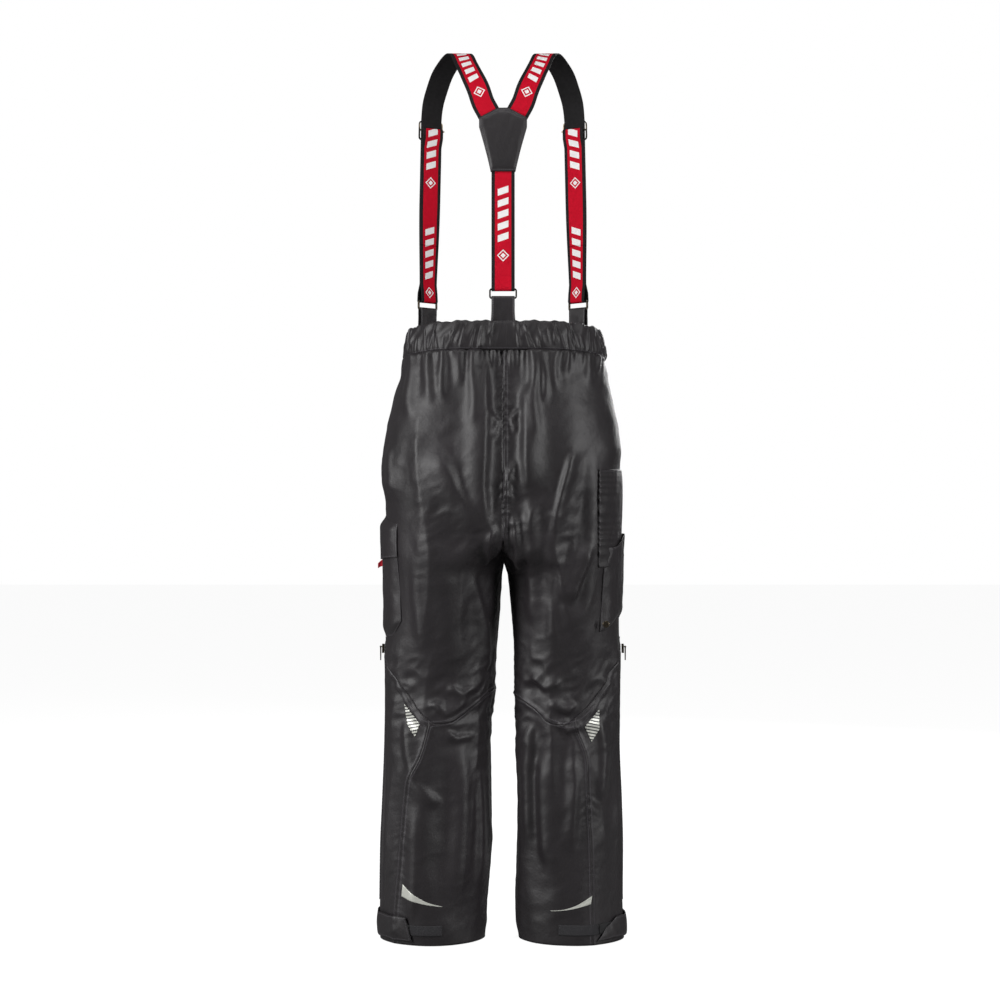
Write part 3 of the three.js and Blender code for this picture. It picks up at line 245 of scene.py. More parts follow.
def trouser_mesh():
    """Vertices, faces, each face's panel name and each vertex's flat cloth place, as one mesh."""
    heights = np.linspace(SPLIT, BAND_BOTTOM + 0.006, HIP_ROWS + 1)[:, None]
    k = np.arange(COLUMNS)
    hips = np.zeros((HIP_ROWS + 1, HIP_COUNT, 3))
    for _, side in SIDES:
        hips[:, hip_column(side, k)] = hip_points(side, Q[None, :] + 0 * heights, heights + 0 * Q[None, :])
    hip_index = np.arange(hips[..., 0].size).reshape(hips.shape[:2])
    chunks, faces, names, flats = [hips.reshape(-1, 3)], [], [], []
    used = hips[..., 0].size
    crotch = None
    for word, side in SIDES:
        grid = leg_grid(side)
        index = np.zeros((LEG_ROWS + 1, LEG_COUNT), int)
        index[LEG_ROWS, :COLUMNS] = hip_index[0, hip_column(side, k)]
        if crotch is None:
            wall = grid[LEG_ROWS, COLUMNS:].copy()
            wall[:, 0] = 0
            crotch = used + np.arange(INNER_COLUMNS)
            chunks.append(wall)
            used += INNER_COLUMNS
        index[LEG_ROWS, COLUMNS:] = crotch
        body = grid[:LEG_ROWS].reshape(-1, 3)
        index[:LEG_ROWS] = used + np.arange(len(body)).reshape(LEG_ROWS, LEG_COUNT)
        chunks.append(body)
        used += len(body)
        half = COLUMNS // 2
        for row in range(LEG_ROWS):
            for n in range(LEG_COUNT):
                following = (n + 1) % LEG_COUNT
                quad = [index[row, n], index[row, following], index[row + 1, following], index[row + 1, n]]
                faces.append(quad if side == RIGHT else quad[::-1])
                inner_back = n >= COLUMNS + INNER_COLUMNS // 2
                back = n < half or inner_back
                outside = CALF_COLUMN <= n < COLUMNS - 1 - CALF_COLUMN
                if row >= KNEE_ROW:
                    name = "back_panel" if back else "front_panel"
                elif outside:
                    name = "lower_side_panel"
                else:
                    name = "lower_back_panel" if back else "front_panel"
                names.append(f"{name}_{word}")
                shifted = n - LEG_COUNT if inner_back else n
                flats.append((shifted, shifted + 1, row))
        for row in range(HIP_ROWS):
            for n in range(COLUMNS - 1):
                a, b = hip_index[row, hip_column(side, n)], hip_index[row, hip_column(side, n + 1)]
                c, d = hip_index[row + 1, hip_column(side, n + 1)], hip_index[row + 1, hip_column(side, n)]
                faces.append([a, b, c, d] if side == RIGHT else [d, c, b, a])
                names.append(f"{'back_panel' if n < half else 'front_panel'}_{word}")
                flats.append((n, n + 1, LEG_ROWS + row))
    return np.concatenate(chunks), np.array(faces), np.array(names), np.array(flats)


def normals_of(points, faces):
    """Smooth outward normals at the points."""
    a, b, c, d = (points[faces[:, i]] for i in range(4))
    flat = np.cross(c - a, d - b)
    total = np.zeros_like(points)
    for i in range(4):
        np.add.at(total, faces[:, i], flat)
    return total / np.maximum(np.linalg.norm(total, axis=1), 1e-12)[:, None]


# ------------------------------------------------------------------ folds, gathers and puckers
def along_line(points2, line):
    """Signed distance from a polyline, and the share of the way along it, for points in its plane."""
    line = np.array(line, float)
    steps = np.diff(line, axis=0)
    lengths = np.linalg.norm(steps, axis=1)
    starts = np.concatenate([[0], np.cumsum(lengths)])
    best = np.full(len(points2), 1e9)
    signed, share = np.zeros(len(points2)), np.zeros(len(points2))
    for i, (origin, step, length) in enumerate(zip(line[:-1], steps, lengths)):
        local = points2 - origin
        t = np.clip(local @ step / length**2, 0, 1)
        away = local - t[:, None] * step
        distance = np.linalg.norm(away, axis=1)
        near = distance < best
        side = np.sign(step[0] * local[:, 1] - step[1] * local[:, 0])
        best = np.where(near, distance, best)
        signed = np.where(near, side * distance, signed)
        share = np.where(near, (starts[i] + t * length) / starts[-1], share)
    return signed, share


def fold(points2, line, width, height, edge=0.0, taper=0.25):
    """A rounded ridge along a line. edge from -1 to 1 makes the slope on one side of it steep."""
    distance, share = along_line(points2, line)
    ends = smooth(0, taper, share) * smooth(0, taper, 1 - share)
    steep = np.where(distance * edge > 0, width * (1 - 0.75 * abs(edge)), width)
    return height * ends * np.exp(-((distance / steep) ** 2))


# Gathers that hang from the waistband at the back: distance from the middle and height of the tip in metres, how
# proud and half how wide in mm.
BACK_GATHERS = (
    (-0.176, 0.974, 3.0, 9), (-0.160, 0.903, 4.5, 9), (-0.129, 0.924, 4.0, 10), (-0.103, 0.930, 4.5, 9),
    (-0.077, 0.951, 3.5, 9), (-0.050, 0.890, 6.0, 9), (-0.015, 0.985, 2.5, 7), (0.016, 0.974, 3.0, 8),
    (0.053, 0.872, 6.0, 9), (0.071, 0.924, 4.5, 7), (0.088, 0.946, 4.0, 7), (0.106, 0.969, 3.5, 8),
    (0.127, 0.985, 3.5, 8), (0.147, 0.955, 4.0, 9), (0.164, 0.978, 3.0, 8),
)
# Folds at the back: a line of (distance from the middle, height) in metres, half width and height in mm, and from
# -1 to 1 which side is steep.
BACK_FOLDS = (
    (((-0.033, 1.028), (-0.031, 0.90), (-0.036, 0.80), (-0.031, 0.745), (-0.014, 0.70)), 30, 8.0, 0.95),
    (((0.038, 0.975), (0.040, 0.86), (0.044, 0.78)), 26, 6.0, -0.9),
    (((-0.118, 0.872), (-0.085, 0.80), (-0.043, 0.715)), 26, 6.0, 0.7),
    (((-0.192, 0.875), (-0.188, 0.78)), 8, 3.0, 0.6),
    (((0.123, 0.872), (0.103, 0.80), (0.083, 0.71)), 13, 4.5, -0.7),
    (((0.156, 0.705), (0.136, 0.655), (0.112, 0.592)), 20, 6.0, 0.85),
    (((0.046, 0.80), (0.050, 0.67), (0.052, 0.54)), 14, 4.0, -0.4),
    (((0.078, 0.74), (0.080, 0.60), (0.095, 0.50)), 16, 3.0, 0.5),
    (((-0.105, 0.69), (-0.098, 0.57), (-0.092, 0.46)), 30, 4.0, 0.3),
    (((-0.168, 0.70), (-0.150, 0.60), (-0.128, 0.50)), 16, 3.5, -0.5),
    (((-0.055, 0.66), (-0.035, 0.56), (-0.030, 0.47)), 12, 3.0, 0.6),
    (((-0.012, 0.735), (-0.024, 0.70), (-0.028, 0.655)), 8, 4.0, 0.6),
    (((0.016, 0.76), (0.022, 0.70), (0.030, 0.64)), 8, 4.0, -0.6),
    (((-0.103, 0.378), (-0.082, 0.362), (-0.050, 0.366)), 8, 2.6, 0.8),
    (((-0.130, 0.43), (-0.100, 0.405), (-0.060, 0.43)), 10, 3.5, -0.5),
    (((-0.098, 0.455), (-0.075, 0.44), (-0.045, 0.455)), 9, 4.0, 0.6),
    (((-0.160, 0.318), (-0.152, 0.284), (-0.106, 0.243)), 15, 3.8, 0.8),
    (((-0.073, 0.365), (-0.072, 0.22), (-0.080, 0.06)), 17, 4.5, 0.4),
    (((-0.170, 0.40), (-0.163, 0.33), (-0.150, 0.29)), 12, 4.0, -0.6),
    (((-0.150, 0.25), (-0.152, 0.14), (-0.158, 0.03)), 12, 3.0, 0.5),
    (((-0.046, 0.33), (-0.042, 0.20), (-0.044, 0.09)), 9, 3.0, -0.6),
    (((0.070, 0.345), (0.070, 0.24), (0.078, 0.12)), 17, 4.5, -0.4),
    (((0.095, 0.395), (0.112, 0.375), (0.140, 0.385)), 9, 4.0, -0.7),
    (((0.128, 0.425), (0.112, 0.41), (0.080, 0.425)), 10, 3.5, 0.5),
    (((0.050, 0.475), (0.075, 0.45), (0.105, 0.462)), 10, 3.5, -0.6),
    (((0.052, 0.40), (0.046, 0.30), (0.048, 0.16)), 10, 3.5, 0.6),
    (((0.118, 0.36), (0.124, 0.27), (0.120, 0.15)), 12, 3.0, 0.5),
    (((0.170, 0.40), (0.176, 0.33), (0.172, 0.24)), 14, 4.0, -0.6),
    (((0.020, 0.845), (0.006, 0.80), (0.014, 0.765)), 8, 3.0, 0.6),
    (((-0.030, 0.93), (-0.010, 0.905), (-0.020, 0.875)), 8, 2.5, 0.6),
    (((0.030, 0.93), (0.014, 0.91), (0.024, 0.885)), 8, 2.5, -0.6),
)
FOLD_SHARE = 2.3  # all folds together
MOST_OUT = 0.018  # no fold stands further out than this
CENTRE_SEAM = 0.004  # how far the back seam lies from the middle
KNEE, KNEE_REACH = 0.43, 0.075
CROTCH_REACH = 0.07
FRONT_GATHERS = 30
GATHER_LENGTH = 0.035  # over which a gather's tip dies away
RUFFLE_PITCH = 0.0125  # of the puckers along a sewn edge
ZIP_HALF = 0.030
ZIP_LIP = -0.0195  # where the cloth behind a zip is turned under


def seam_distance(x, y, h):
    """Signed distance to the nearest sewn seam, in metres."""
    side = np.where(x < 0, LEFT, RIGHT)
    across = np.abs(x)
    knee = np.where(side == LEFT, KNEE_SEAM[LEFT](across), KNEE_SEAM[RIGHT](across))
    calf = np.where(side == LEFT, CALF_SEAM[LEFT](h), CALF_SEAM[RIGHT](h))
    to_knee = (h - knee) * 0.8
    to_calf = np.where(h < knee + 0.004, (across - calf) * 0.8, 1)
    to_centre = np.where(h > SPLIT - 0.03, np.where(y < 0, x - CENTRE_SEAM, x), 1)
    choices = np.stack([to_knee, to_calf, to_centre])
    return np.take_along_axis(choices, np.argmin(np.abs(choices), 0)[None], 0)[0]


LEAN = np.array([[1, 0, 0.35], [0, 1, 0], [-0.35, 0, 1]])  # slants a noise's lumps


def bell(distance, width, power=2):
    """1 at no distance, dying away over the width."""
    return np.exp(-((distance / width) ** power))


def drape(points, h):
    """The cloth's lumps and creases, in mm: broad, upright, slanting, and short ones at knee and crotch."""
    out = 1.7 * waves(points, 0.17, 3, 2, (1, 1, 2.2))
    planes = 1 - 2 * np.abs(waves(points, 0.095, 23, 2, (0.8, 0.8, 4.2)))
    out += 2.6 * planes * smooth(0.03, 0.20, h) * (1 - smooth(0.84, 0.95, h))
    tension = np.clip(1 - 2.6 * np.abs(waves(points @ LEAN, 0.060, 29, 1, (0.9, 0.9, 3.0))), 0, 1)
    out += 0.8 * tension * smooth(0.03, 0.20, h) * (1 - smooth(0.80, 0.92, h))
    out += 2.2 * (1 - smooth(0.30, 0.50, h)) * waves(points, 0.060, 5, 2, (1, 1, 6))
    creases = 1 - 2 * np.abs(waves(points @ LEAN.T, 0.040, 7, 3, (1.6, 1, 0.7)))
    return out + creases * (0.22 + 0.9 * bell(h - KNEE, KNEE_REACH) + 0.6 * bell(h - SPLIT, CROTCH_REACH))


def gathers(x, h, back):
    """What hangs from the waistband, in mm: set gathers at the back, chance ones in front, a ruffle below."""
    out = np.zeros(len(x))
    for middle, tip, proud, half in BACK_GATHERS:
        sway = middle + 0.002 * np.sin(h * 60 + middle * 90)
        hang = smooth(tip, tip + GATHER_LENGTH, h) * (0.55 + 0.45 * smooth(tip, 1.02, h))
        out += back * proud * hang * bell(x - sway, half * MM)
    rng = np.random.default_rng(11)
    for _ in range(FRONT_GATHERS):
        middle, tip, proud = rng.uniform(-0.17, 0.17), rng.uniform(0.87, 0.99), rng.uniform(2.5, 5)
        out += (1 - back) * proud * smooth(tip, tip + GATHER_LENGTH, h) * bell(x - middle, 0.008)
    return out


def ruffle(x, y, h):
    """The fine ripple where the trousers are sewn to the casing, in mm."""
    near = np.exp(-np.clip(BAND_BOTTOM + 0.006 - h, 0, 1) / 0.016)
    around = x + np.where(y < 0, 0, 0.013)
    return 1.6 * near * np.sin(around * 2 * math.pi / RUFFLE_PITCH + 3 * np.sin(around * 41))


def seams(points, x, y, h, back):
    """The ridge and puckers along the sewn seams, in mm, and the flat strip beside the centre back one."""
    out = -back * 2.1 * bell(x - 0.003, 0.030, 4) * smooth(SPLIT, 0.80, h)
    distance = seam_distance(x, y, h)
    out += 0.9 * bell(distance, 0.0035)
    near = bell(distance, 0.013) * (0.35 + 0.65 * smooth(0.70, 0.76, h))
    beat = (h + 0.6 * np.abs(distance)) * 2 * math.pi / RUFFLE_PITCH + 2.5 * np.sin(h * 90)
    return out + near * (0.45 + 0.45 * waves(points, 0.05, 61, 2)) * np.sin(beat)


def folds(points):
    """How far out the cloth stands at each point of the smooth trousers, in metres."""
    x, y, h = points.T
    place = np.stack([x, h], 1)
    back = smooth(-0.005, 0.05, -y)
    out = MM * (drape(points, h) + gathers(x, h, back) + ruffle(x, y, h) + seams(points, x, y, h, back))
    for line, half, proud, edge in BACK_FOLDS:
        out += back * fold(place, line, half * MM, proud * MM, edge)
    # Flat along the zips and under the pockets, so that what is sewn on there lies on it.
    aside = smooth(0.17, 0.19, np.abs(x))
    zipped = bell(y, ZIP_HALF, 4) * aside * (1 - smooth(0.54, 0.60, h))
    covered = np.where(x > 0, 0.85, 0.79)  # top of what is sewn on at each thigh
    pocket = smooth(0.14, 0.165, np.abs(x)) * smooth(0.50, 0.54, h) * (1 - smooth(-0.02, 0.02, h - covered))
    out *= FOLD_SHARE * (1 - zipped) * (1 - 0.85 * pocket)
    out = np.where(out > 0, MOST_OUT * np.tanh(out / MOST_OUT), out)
    out += 3.0 * MM * bell(y - ZIP_LIP, 0.0038) * aside * smooth(0.02, 0.06, h) * (1 - smooth(0.50, 0.53, h))
    return out * (0.35 + 0.65 * smooth(0.0, 0.03, h))


def to_frame(points):
    """From heights above the hem to the row frame, with the waist's rim tilted down to the front."""
    made = np.array(points, float)
    tilt = RIM_TILT * smooth(0.80, BAND_TOP, made[:, 2])
    made[:, 2] += HEM_Z - tilt * made[:, 1]
    return made


# ------------------------------------------------------------------ making mesh objects
def new_object(name, points, faces, uv=None, attributes=None):
    mesh = bpy.data.meshes.new(name)
    mesh.from_pydata([tuple(p) for p in points], [], [tuple(int(i) for i in f) for f in faces])
    obj = bpy.data.objects.new(name, mesh)
    bpy.context.collection.objects.link(obj)
    if uv is not None:
        layer = mesh.uv_layers.new(name="cloth")
        corners = np.zeros(len(mesh.loops), int)
        mesh.loops.foreach_get("vertex_index", corners)
        layer.data.foreach_set("uv", np.asarray(uv, float)[corners].ravel())
    for key, values in (attributes or {}).items():
        mesh.attributes.new(key, "FLOAT", "POINT").data.foreach_set("value", np.asarray(values, np.float32))
    mesh.shade_smooth()
    return obj


def finish_modifiers(obj):
    bpy.context.view_layer.objects.active = obj
    obj.select_set(True)
    for modifier in list(obj.modifiers):
        bpy.ops.object.modifier_apply(modifier=modifier.name)
    obj.select_set(False)
    return obj


def thicken(obj, thickness, offset=-1.0, back_material=False):
    modifier = obj.modifiers.new("wall", "SOLIDIFY")
    modifier.thickness, modifier.offset = thickness, offset
    modifier.use_even_offset = False
    if back_material:
        modifier.material_offset = modifier.material_offset_rim = 1
    return finish_modifiers(obj)


def paint(obj, *materials):
    obj.data.materials.clear()
    for material in materials:
        obj.data.materials.append(material)
    return obj


# ------------------------------------------------------------------ materials
MIX_FACTOR, MIX_A, MIX_B, MIX_RESULT = 0, 6, 7, 2  # the Mix node's sockets for colours
STITCHES_TO_THE_METRE = 310.0
BARS_TO_THE_METRE = 182.0
MARK_HALF_WIDTH = 0.0092
RED_HALF_WIDTH = 0.0141


def colour(code):
    """An sRGB hex value as linear colour."""
    parts = [int(code[i : i + 2], 16) / 255 for i in (0, 2, 4)]
    return tuple(c / 12.92 if c <= 0.04045 else ((c + 0.055) / 1.055) ** 2.4 for c in parts) + (1.0,)


def add(tree, kind, links=None, inputs=None, **settings):
    """Adds one node with its settings, its input values and its links from other nodes' outputs."""
    node = tree.nodes.new(kind)
    for key, value in settings.items():
        setattr(node, key, value)
    for key, value in (inputs or {}).items():
        node.inputs[key].default_value = value
    for key, source in (links or {}).items():
        tree.links.new(source, node.inputs[key])
    return node


def new_material(name, **inputs):
    """A material with a Principled surface; inputs are values of its sockets, named with underscores."""
    material = bpy.data.materials.new(name)
    material.use_nodes = True
    tree = material.node_tree
    surface = tree.nodes["Principled BSDF"]
    for key, value in inputs.items():
        surface.inputs[key.replace("_", " ")].default_value = value
    return material, tree, surface


def calc(tree, operation, *values):
    """The result of a Math node; each value is a number or another node's output."""
    node = add(tree, "ShaderNodeMath", operation=operation)
    for place, value in enumerate(values):
        if isinstance(value, (int, float)):
            node.inputs[place].default_value = value
        else:
            tree.links.new(value, node.inputs[place])
    return node.outputs[0]


def mixed(tree, share, low, high):
    """A colour between two, each a hex code or another node's output."""
    node = add(tree, "ShaderNodeMix", {MIX_FACTOR: share}, data_type="RGBA")
    for place, value in ((MIX_A, low), (MIX_B, high)):
        if isinstance(value, str):
            node.inputs[place].default_value = colour(value)
        else:
            tree.links.new(value, node.inputs[place])
    return node.outputs[MIX_RESULT]


def ramp(tree, share, dark, light, start=0.0, end=1.0):
    """A colour that runs from dark to light as the share runs from start to end."""
    node = add(tree, "ShaderNodeValToRGB", {"Fac": share})
    for element, place, code in zip(node.color_ramp.elements, (start, end), (dark, light)):
        element.position, element.color = place, colour(code)
    return node.outputs["Color"]


def noise(tree, scale, **more):
    """Noise in the object's own coordinates; scale is in lumps to the metre."""
    place = add(tree, "ShaderNodeTexCoord")
    inputs = {"Scale": scale, **{key.capitalize(): value for key, value in more.items()}}
    return add(tree, "ShaderNodeTexNoise", {"Vector": place.outputs["Object"]}, inputs).outputs["Fac"]


def roughen(tree, surface, height, strength, distance=1.0):
    """Gives the surface a bump of that height."""
    bump = add(tree, "ShaderNodeBump", {"Height": height}, {"Strength": strength, "Distance": distance})
    tree.links.new(bump.outputs["Normal"], surface.inputs["Normal"])


def coated_nylon():
    """Plain-weave nylon with a thin polyurethane coating: dark grey, with a soft satin sheen."""
    material, tree, surface = new_material(
        "coated_nylon", Roughness=0.49, Specular_IOR_Level=0.45, Sheen_Weight=0.02, Sheen_Roughness=0.5)
    tone = ramp(tree, noise(tree, 9.0, detail=4.0), "171416", "242023", 0.25, 0.78)
    # Stitches: a row of thread 3.2 mm beside each seam, a shade lighter, drawn 1 mm wide so that it shows.
    seam = add(tree, "ShaderNodeAttribute", attribute_name="seam")
    off = calc(tree, "ABSOLUTE", calc(tree, "SUBTRACT", calc(tree, "ABSOLUTE", seam.outputs["Fac"]), 0.0032))
    near = add(tree, "ShaderNodeMapRange", {"Value": off},
               {"From Min": 0.0004, "From Max": 0.0010, "To Min": 1.0, "To Max": 0.0})
    place = add(tree, "ShaderNodeTexCoord")
    split = add(tree, "ShaderNodeSeparateXYZ", {"Vector": place.outputs["Object"]})
    along = calc(tree, "ADD", split.outputs["X"], split.outputs["Z"])
    step = calc(tree, "MULTIPLY", along, STITCHES_TO_THE_METRE)
    dash = calc(tree, "LESS_THAN", calc(tree, "FRACT", step), 0.66)
    thread = calc(tree, "MULTIPLY", near.outputs["Result"], dash)
    tree.links.new(mixed(tree, thread, tone, "3c393d"), surface.inputs["Base Color"])
    # The weave's threads are 0.2 mm apart, too fine to show, so the bump draws them at 0.9 mm.
    cloth = add(tree, "ShaderNodeUVMap", uv_map="cloth")
    warp, weft = (add(tree, "ShaderNodeTexWave", {"Vector": cloth.outputs["UV"]}, {"Scale": 350.0},
                      bands_direction=way).outputs["Fac"] for way in "XY")
    weave = calc(tree, "MULTIPLY", warp, weft)
    crumple = calc(tree, "MULTIPLY", noise(tree, 55.0, detail=5.0, roughness=0.6), 2.2)
    raised = calc(tree, "MULTIPLY_ADD", thread, 0.35, calc(tree, "MULTIPLY_ADD", weave, 0.10, crumple))
    roughen(tree, surface, raised, 0.35, 0.0012)
    return material


def white_marks(tree, across, along):
    """Where the red webbing is marked: every 200 mm an open diamond, then five slanted bars in 100 mm."""
    apart = calc(tree, "ABSOLUTE", across)
    wrapped = calc(tree, "FLOORED_MODULO", along, 0.200)
    lean = calc(tree, "MULTIPLY_ADD", across, 0.35, wrapped)
    bar = calc(tree, "LESS_THAN", calc(tree, "FRACT", calc(tree, "DIVIDE", lean, 0.020)), 0.58)
    after, before = calc(tree, "GREATER_THAN", lean, 0.040), calc(tree, "LESS_THAN", lean, 0.140)
    bars = calc(tree, "MULTIPLY", bar, calc(tree, "MULTIPLY", after, before))
    bars = calc(tree, "MULTIPLY", bars, calc(tree, "LESS_THAN", apart, MARK_HALF_WIDTH))
    up = calc(tree, "ABSOLUTE", calc(tree, "SUBTRACT", wrapped, 0.014))
    reach = calc(tree, "ADD", up, apart)
    outline = calc(tree, "COMPARE", reach, MARK_HALF_WIDTH, 0.0012)
    diamond = calc(tree, "MAXIMUM", outline, calc(tree, "LESS_THAN", reach, 0.0045))
    return calc(tree, "MAXIMUM", bars, diamond)


def woven_webbing(name, red):
    """Woven polyester webbing, matt and ribbed across; the red side has black edges and white marks."""
    material, tree, surface = new_material(name, Roughness=0.72, Specular_IOR_Level=0.12)
    cloth = add(tree, "ShaderNodeUVMap", uv_map="cloth")
    ribs, threads = (
        add(tree, "ShaderNodeTexWave", {"Vector": cloth.outputs["UV"]},
            {"Scale": scale, "Distortion": distortion}, bands_direction=way).outputs["Fac"]
        for way, scale, distortion in (("Y", 260.0, 0.6), ("X", 420.0, 0.4)))
    roughen(tree, surface, calc(tree, "ADD", ribs, threads), 0.35, 0.0006)
    mottle = noise(tree, 160.0, detail=3.0)
    shade = mixed(tree, mottle, "131213", "242324")
    if red:
        flat = add(tree, "ShaderNodeSeparateXYZ", {"Vector": cloth.outputs["UV"]})
        across = calc(tree, "SUBTRACT", flat.outputs["X"], WEBBING / 2)
        marks = white_marks(tree, across, flat.outputs["Y"])
        marked = mixed(tree, marks, mixed(tree, mottle, "ac001c", "c60426"), "e8e6e6")
        inside = calc(tree, "LESS_THAN", calc(tree, "ABSOLUTE", across), RED_HALF_WIDTH)
        shade = mixed(tree, inside, shade, marked)
    tree.links.new(shade, surface.inputs["Base Color"])
    return material


def mottled(name, dark, light, rough, metallic=0.0, size=400.0, strength=0.2, distance=0.0003):
    """A finish whose shade and surface vary finely: tape, elastic, metal or film."""
    material, tree, surface = new_material(name, Metallic=metallic, Specular_IOR_Level=0.5)
    grain = noise(tree, size, detail=4.0)
    tree.links.new(ramp(tree, grain, dark, light, 0.3, 0.7), surface.inputs["Base Color"])
    gloss = add(tree, "ShaderNodeMapRange", {"Value": grain}, {"To Min": rough - 0.07, "To Max": rough + 0.07})
    tree.links.new(gloss.outputs["Result"], surface.inputs["Roughness"])
    roughen(tree, surface, grain, strength, distance)
    return material


def reflective_film(name, striped):
    """Glass-bead reflective film: pale, slightly yellow grey; the striped one is cut in slanted bars."""
    material, tree, surface = new_material(name, Roughness=0.38, Metallic=0.25)
    place = add(tree, "ShaderNodeTexCoord")
    beads = add(tree, "ShaderNodeTexVoronoi", {"Vector": place.outputs["Object"]}, {"Scale": 1400.0})
    tone = ramp(tree, beads.outputs["Distance"], "d6d7cf", "b2b3ab")
    roughen(tree, surface, beads.outputs["Distance"], 0.15, 0.0002)
    if striped:
        split = add(tree, "ShaderNodeSeparateXYZ", {"Vector": place.outputs["Object"]})
        lean = calc(tree, "MULTIPLY_ADD", calc(tree, "ABSOLUTE", split.outputs["X"]), 0.22, split.outputs["Z"])
        beat = calc(tree, "FLOORED_MODULO", calc(tree, "MULTIPLY", lean, BARS_TO_THE_METRE), 1.0)
        tone = mixed(tree, calc(tree, "GREATER_THAN", beat, 0.40), "333235", tone)
    tree.links.new(tone, surface.inputs["Base Color"])
    return material


NYLON = coated_nylon()
RED_WEBBING = woven_webbing("red_polyester_webbing", True)
BLACK_WEBBING = woven_webbing("black_polyester_webbing", False)
# Knitted polyester elastic, pale and matt.
ELASTIC = mottled("knitted_elastic", "c4c1ba", "dedbd4", 0.85, size=500.0)
# Woven satin label, red.
LABEL = mottled("woven_satin_label", "a80d22", "c4142c", 0.55, size=600.0)
# Woven zip tape and nylon coil, black.
ZIP_TAPE = mottled("woven_zip_tape", "161618", "29292c", 0.75, size=600.0)
ZIP_COIL = mottled("nylon_zip_coil", "1a1a1c", "2e2e31", 0.40, size=300.0)
# Hook tape's and loop tape's pile, black and rough.
LOOP_TAPE = mottled("nylon_loop_tape", "1b1a1c", "343336", 0.92, size=900.0, strength=0.8, distance=0.0010)
HOOK_TAPE = mottled("nylon_hook_tape", "0f0f10", "242426", 0.80, size=1200.0, strength=0.8, distance=0.0008)
# Heat-bonded polyurethane seam tape: smooth and dark.
SEAM_TAPE = mottled("polyurethane_seam_tape", "242326", "343337", 0.35, size=120.0)
# Die-cast zinc with a gunmetal plating: dark brown-grey metal, softly polished.
GUNMETAL = mottled("gunmetal_plated_zinc", "4a4339", "5e564a", 0.30, metallic=1.0, size=300.0, strength=0.05)
REFLECTIVE = reflective_film("glass_bead_reflective_film", False)
STRIPED_REFLECTIVE = reflective_film("striped_glass_bead_reflective_film", True)


# ------------------------------------------------------------------ the trousers' cloth
SHRUNK_LEFT = 0.035  # the waist sits a little to the right, so its left end is drawn in by this share
COLUMN_STEP, ROW_STEP = 0.0033, 0.0036  # between threads of the flat cloth's grid, in metres


def tree_of(points, faces):
    return BVHTree.FromPolygons([tuple(p) for p in points], [tuple(int(i) for i in f) for f in faces])


def make_trousers():
    """The eight shell panels, and their points and faces as one mesh."""
    points, faces, names, flats = trouser_mesh()
    smooth_normals = normals_of(points, faces)
    x, _, height = points.T
    tucked = smooth(BAND_BOTTOM - 0.002, BAND_BOTTOM + 0.004, height)  # the top edge, inside the casing
    stand = folds(points) * (1 - tucked) - 2.0 * MM * tucked
    draped = points + smooth_normals * stand[:, None]
    draped[:, 0] *= 1 - SHRUNK_LEFT * smooth(0.10, 0.16, -x) * smooth(0.94, BAND_BOTTOM, height)
    seam = seam_distance(*points.T)
    final = to_frame(draped)
    made = {}
    for name in sorted(set(names)):
        chosen = faces[names == name]
        flat = flats[names == name]
        used, inverse = np.unique(chosen, return_inverse=True)
        inverse = inverse.reshape(chosen.shape)
        uv = np.zeros((len(used), 2))
        left = name.endswith("left")
        for corner in range(4):
            order = 3 - corner if left else corner
            column = np.where((order == 1) | (order == 2), flat[:, 1], flat[:, 0])
            row = flat[:, 2] + (order >= 2)
            uv[inverse[:, corner]] = np.stack([column * COLUMN_STEP, row * ROW_STEP], 1)
        obj = new_object(name + "_cloth", final[used], inverse, uv, {"seam": seam[used]})
        made[name] = obj
    return made, final, faces


panels, cloth_points, cloth_faces = make_trousers()
cloth_tree = tree_of(cloth_points, cloth_faces)
for node, obj in panels.items():
    thicken(obj, SHELL_CLOTH)
    paint(obj, NYLON)
    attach(obj, "trousers")
    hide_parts(node)


def grid_faces(rows, columns, closed=False):
    """Quads of a grid with rows x columns points, stored row by row."""
    wide = columns if closed else columns - 1
    faces = []
    for r in range(rows - 1):
        for c in range(wide):
            a, b = r * columns + c, r * columns + (c + 1) % columns
            faces.append((a, b, b + columns, a + columns))
    return faces


def sheet_piece(name, points, node=None, seam=None, uv=None, wall=0.0008, flip=False, closed=False,
                materials=(NYLON,), held="laid", on=(), offset=-1.0, slot="coated_nylon", body="trousers"):
    """A cloth piece from a rows x columns x 3 grid: given its wall and finish, and set to ride.

    seam names the stitched edges by their first letters, or is each point's distance from the stitches.
    """
    rows, columns = points.shape[:2]
    faces = grid_faces(rows, columns, closed)
    if flip:
        faces = [f[::-1] for f in faces]
    if isinstance(seam, str):
        seam = edge_distance(points, seam)
    attributes = {} if seam is None else {"seam": np.ravel(seam)}
    flat_places = grid_uv(points) if uv is None else uv
    obj = new_object(name, points.reshape(-1, 3), faces, flat_places.reshape(-1, 2), attributes)
    paint(obj, *materials)
    thicken(obj, wall, offset, back_material=len(materials) > 1)
    if body:
        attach(obj, body)
    if node:
        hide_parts(node)
    return obj


plain_points, plain_faces, _, _ = trouser_mesh()
plain_tree = tree_of(to_frame(plain_points), plain_faces)
LEG_MIDDLE = 0.112  # how far from the centre line the middle of each leg lies


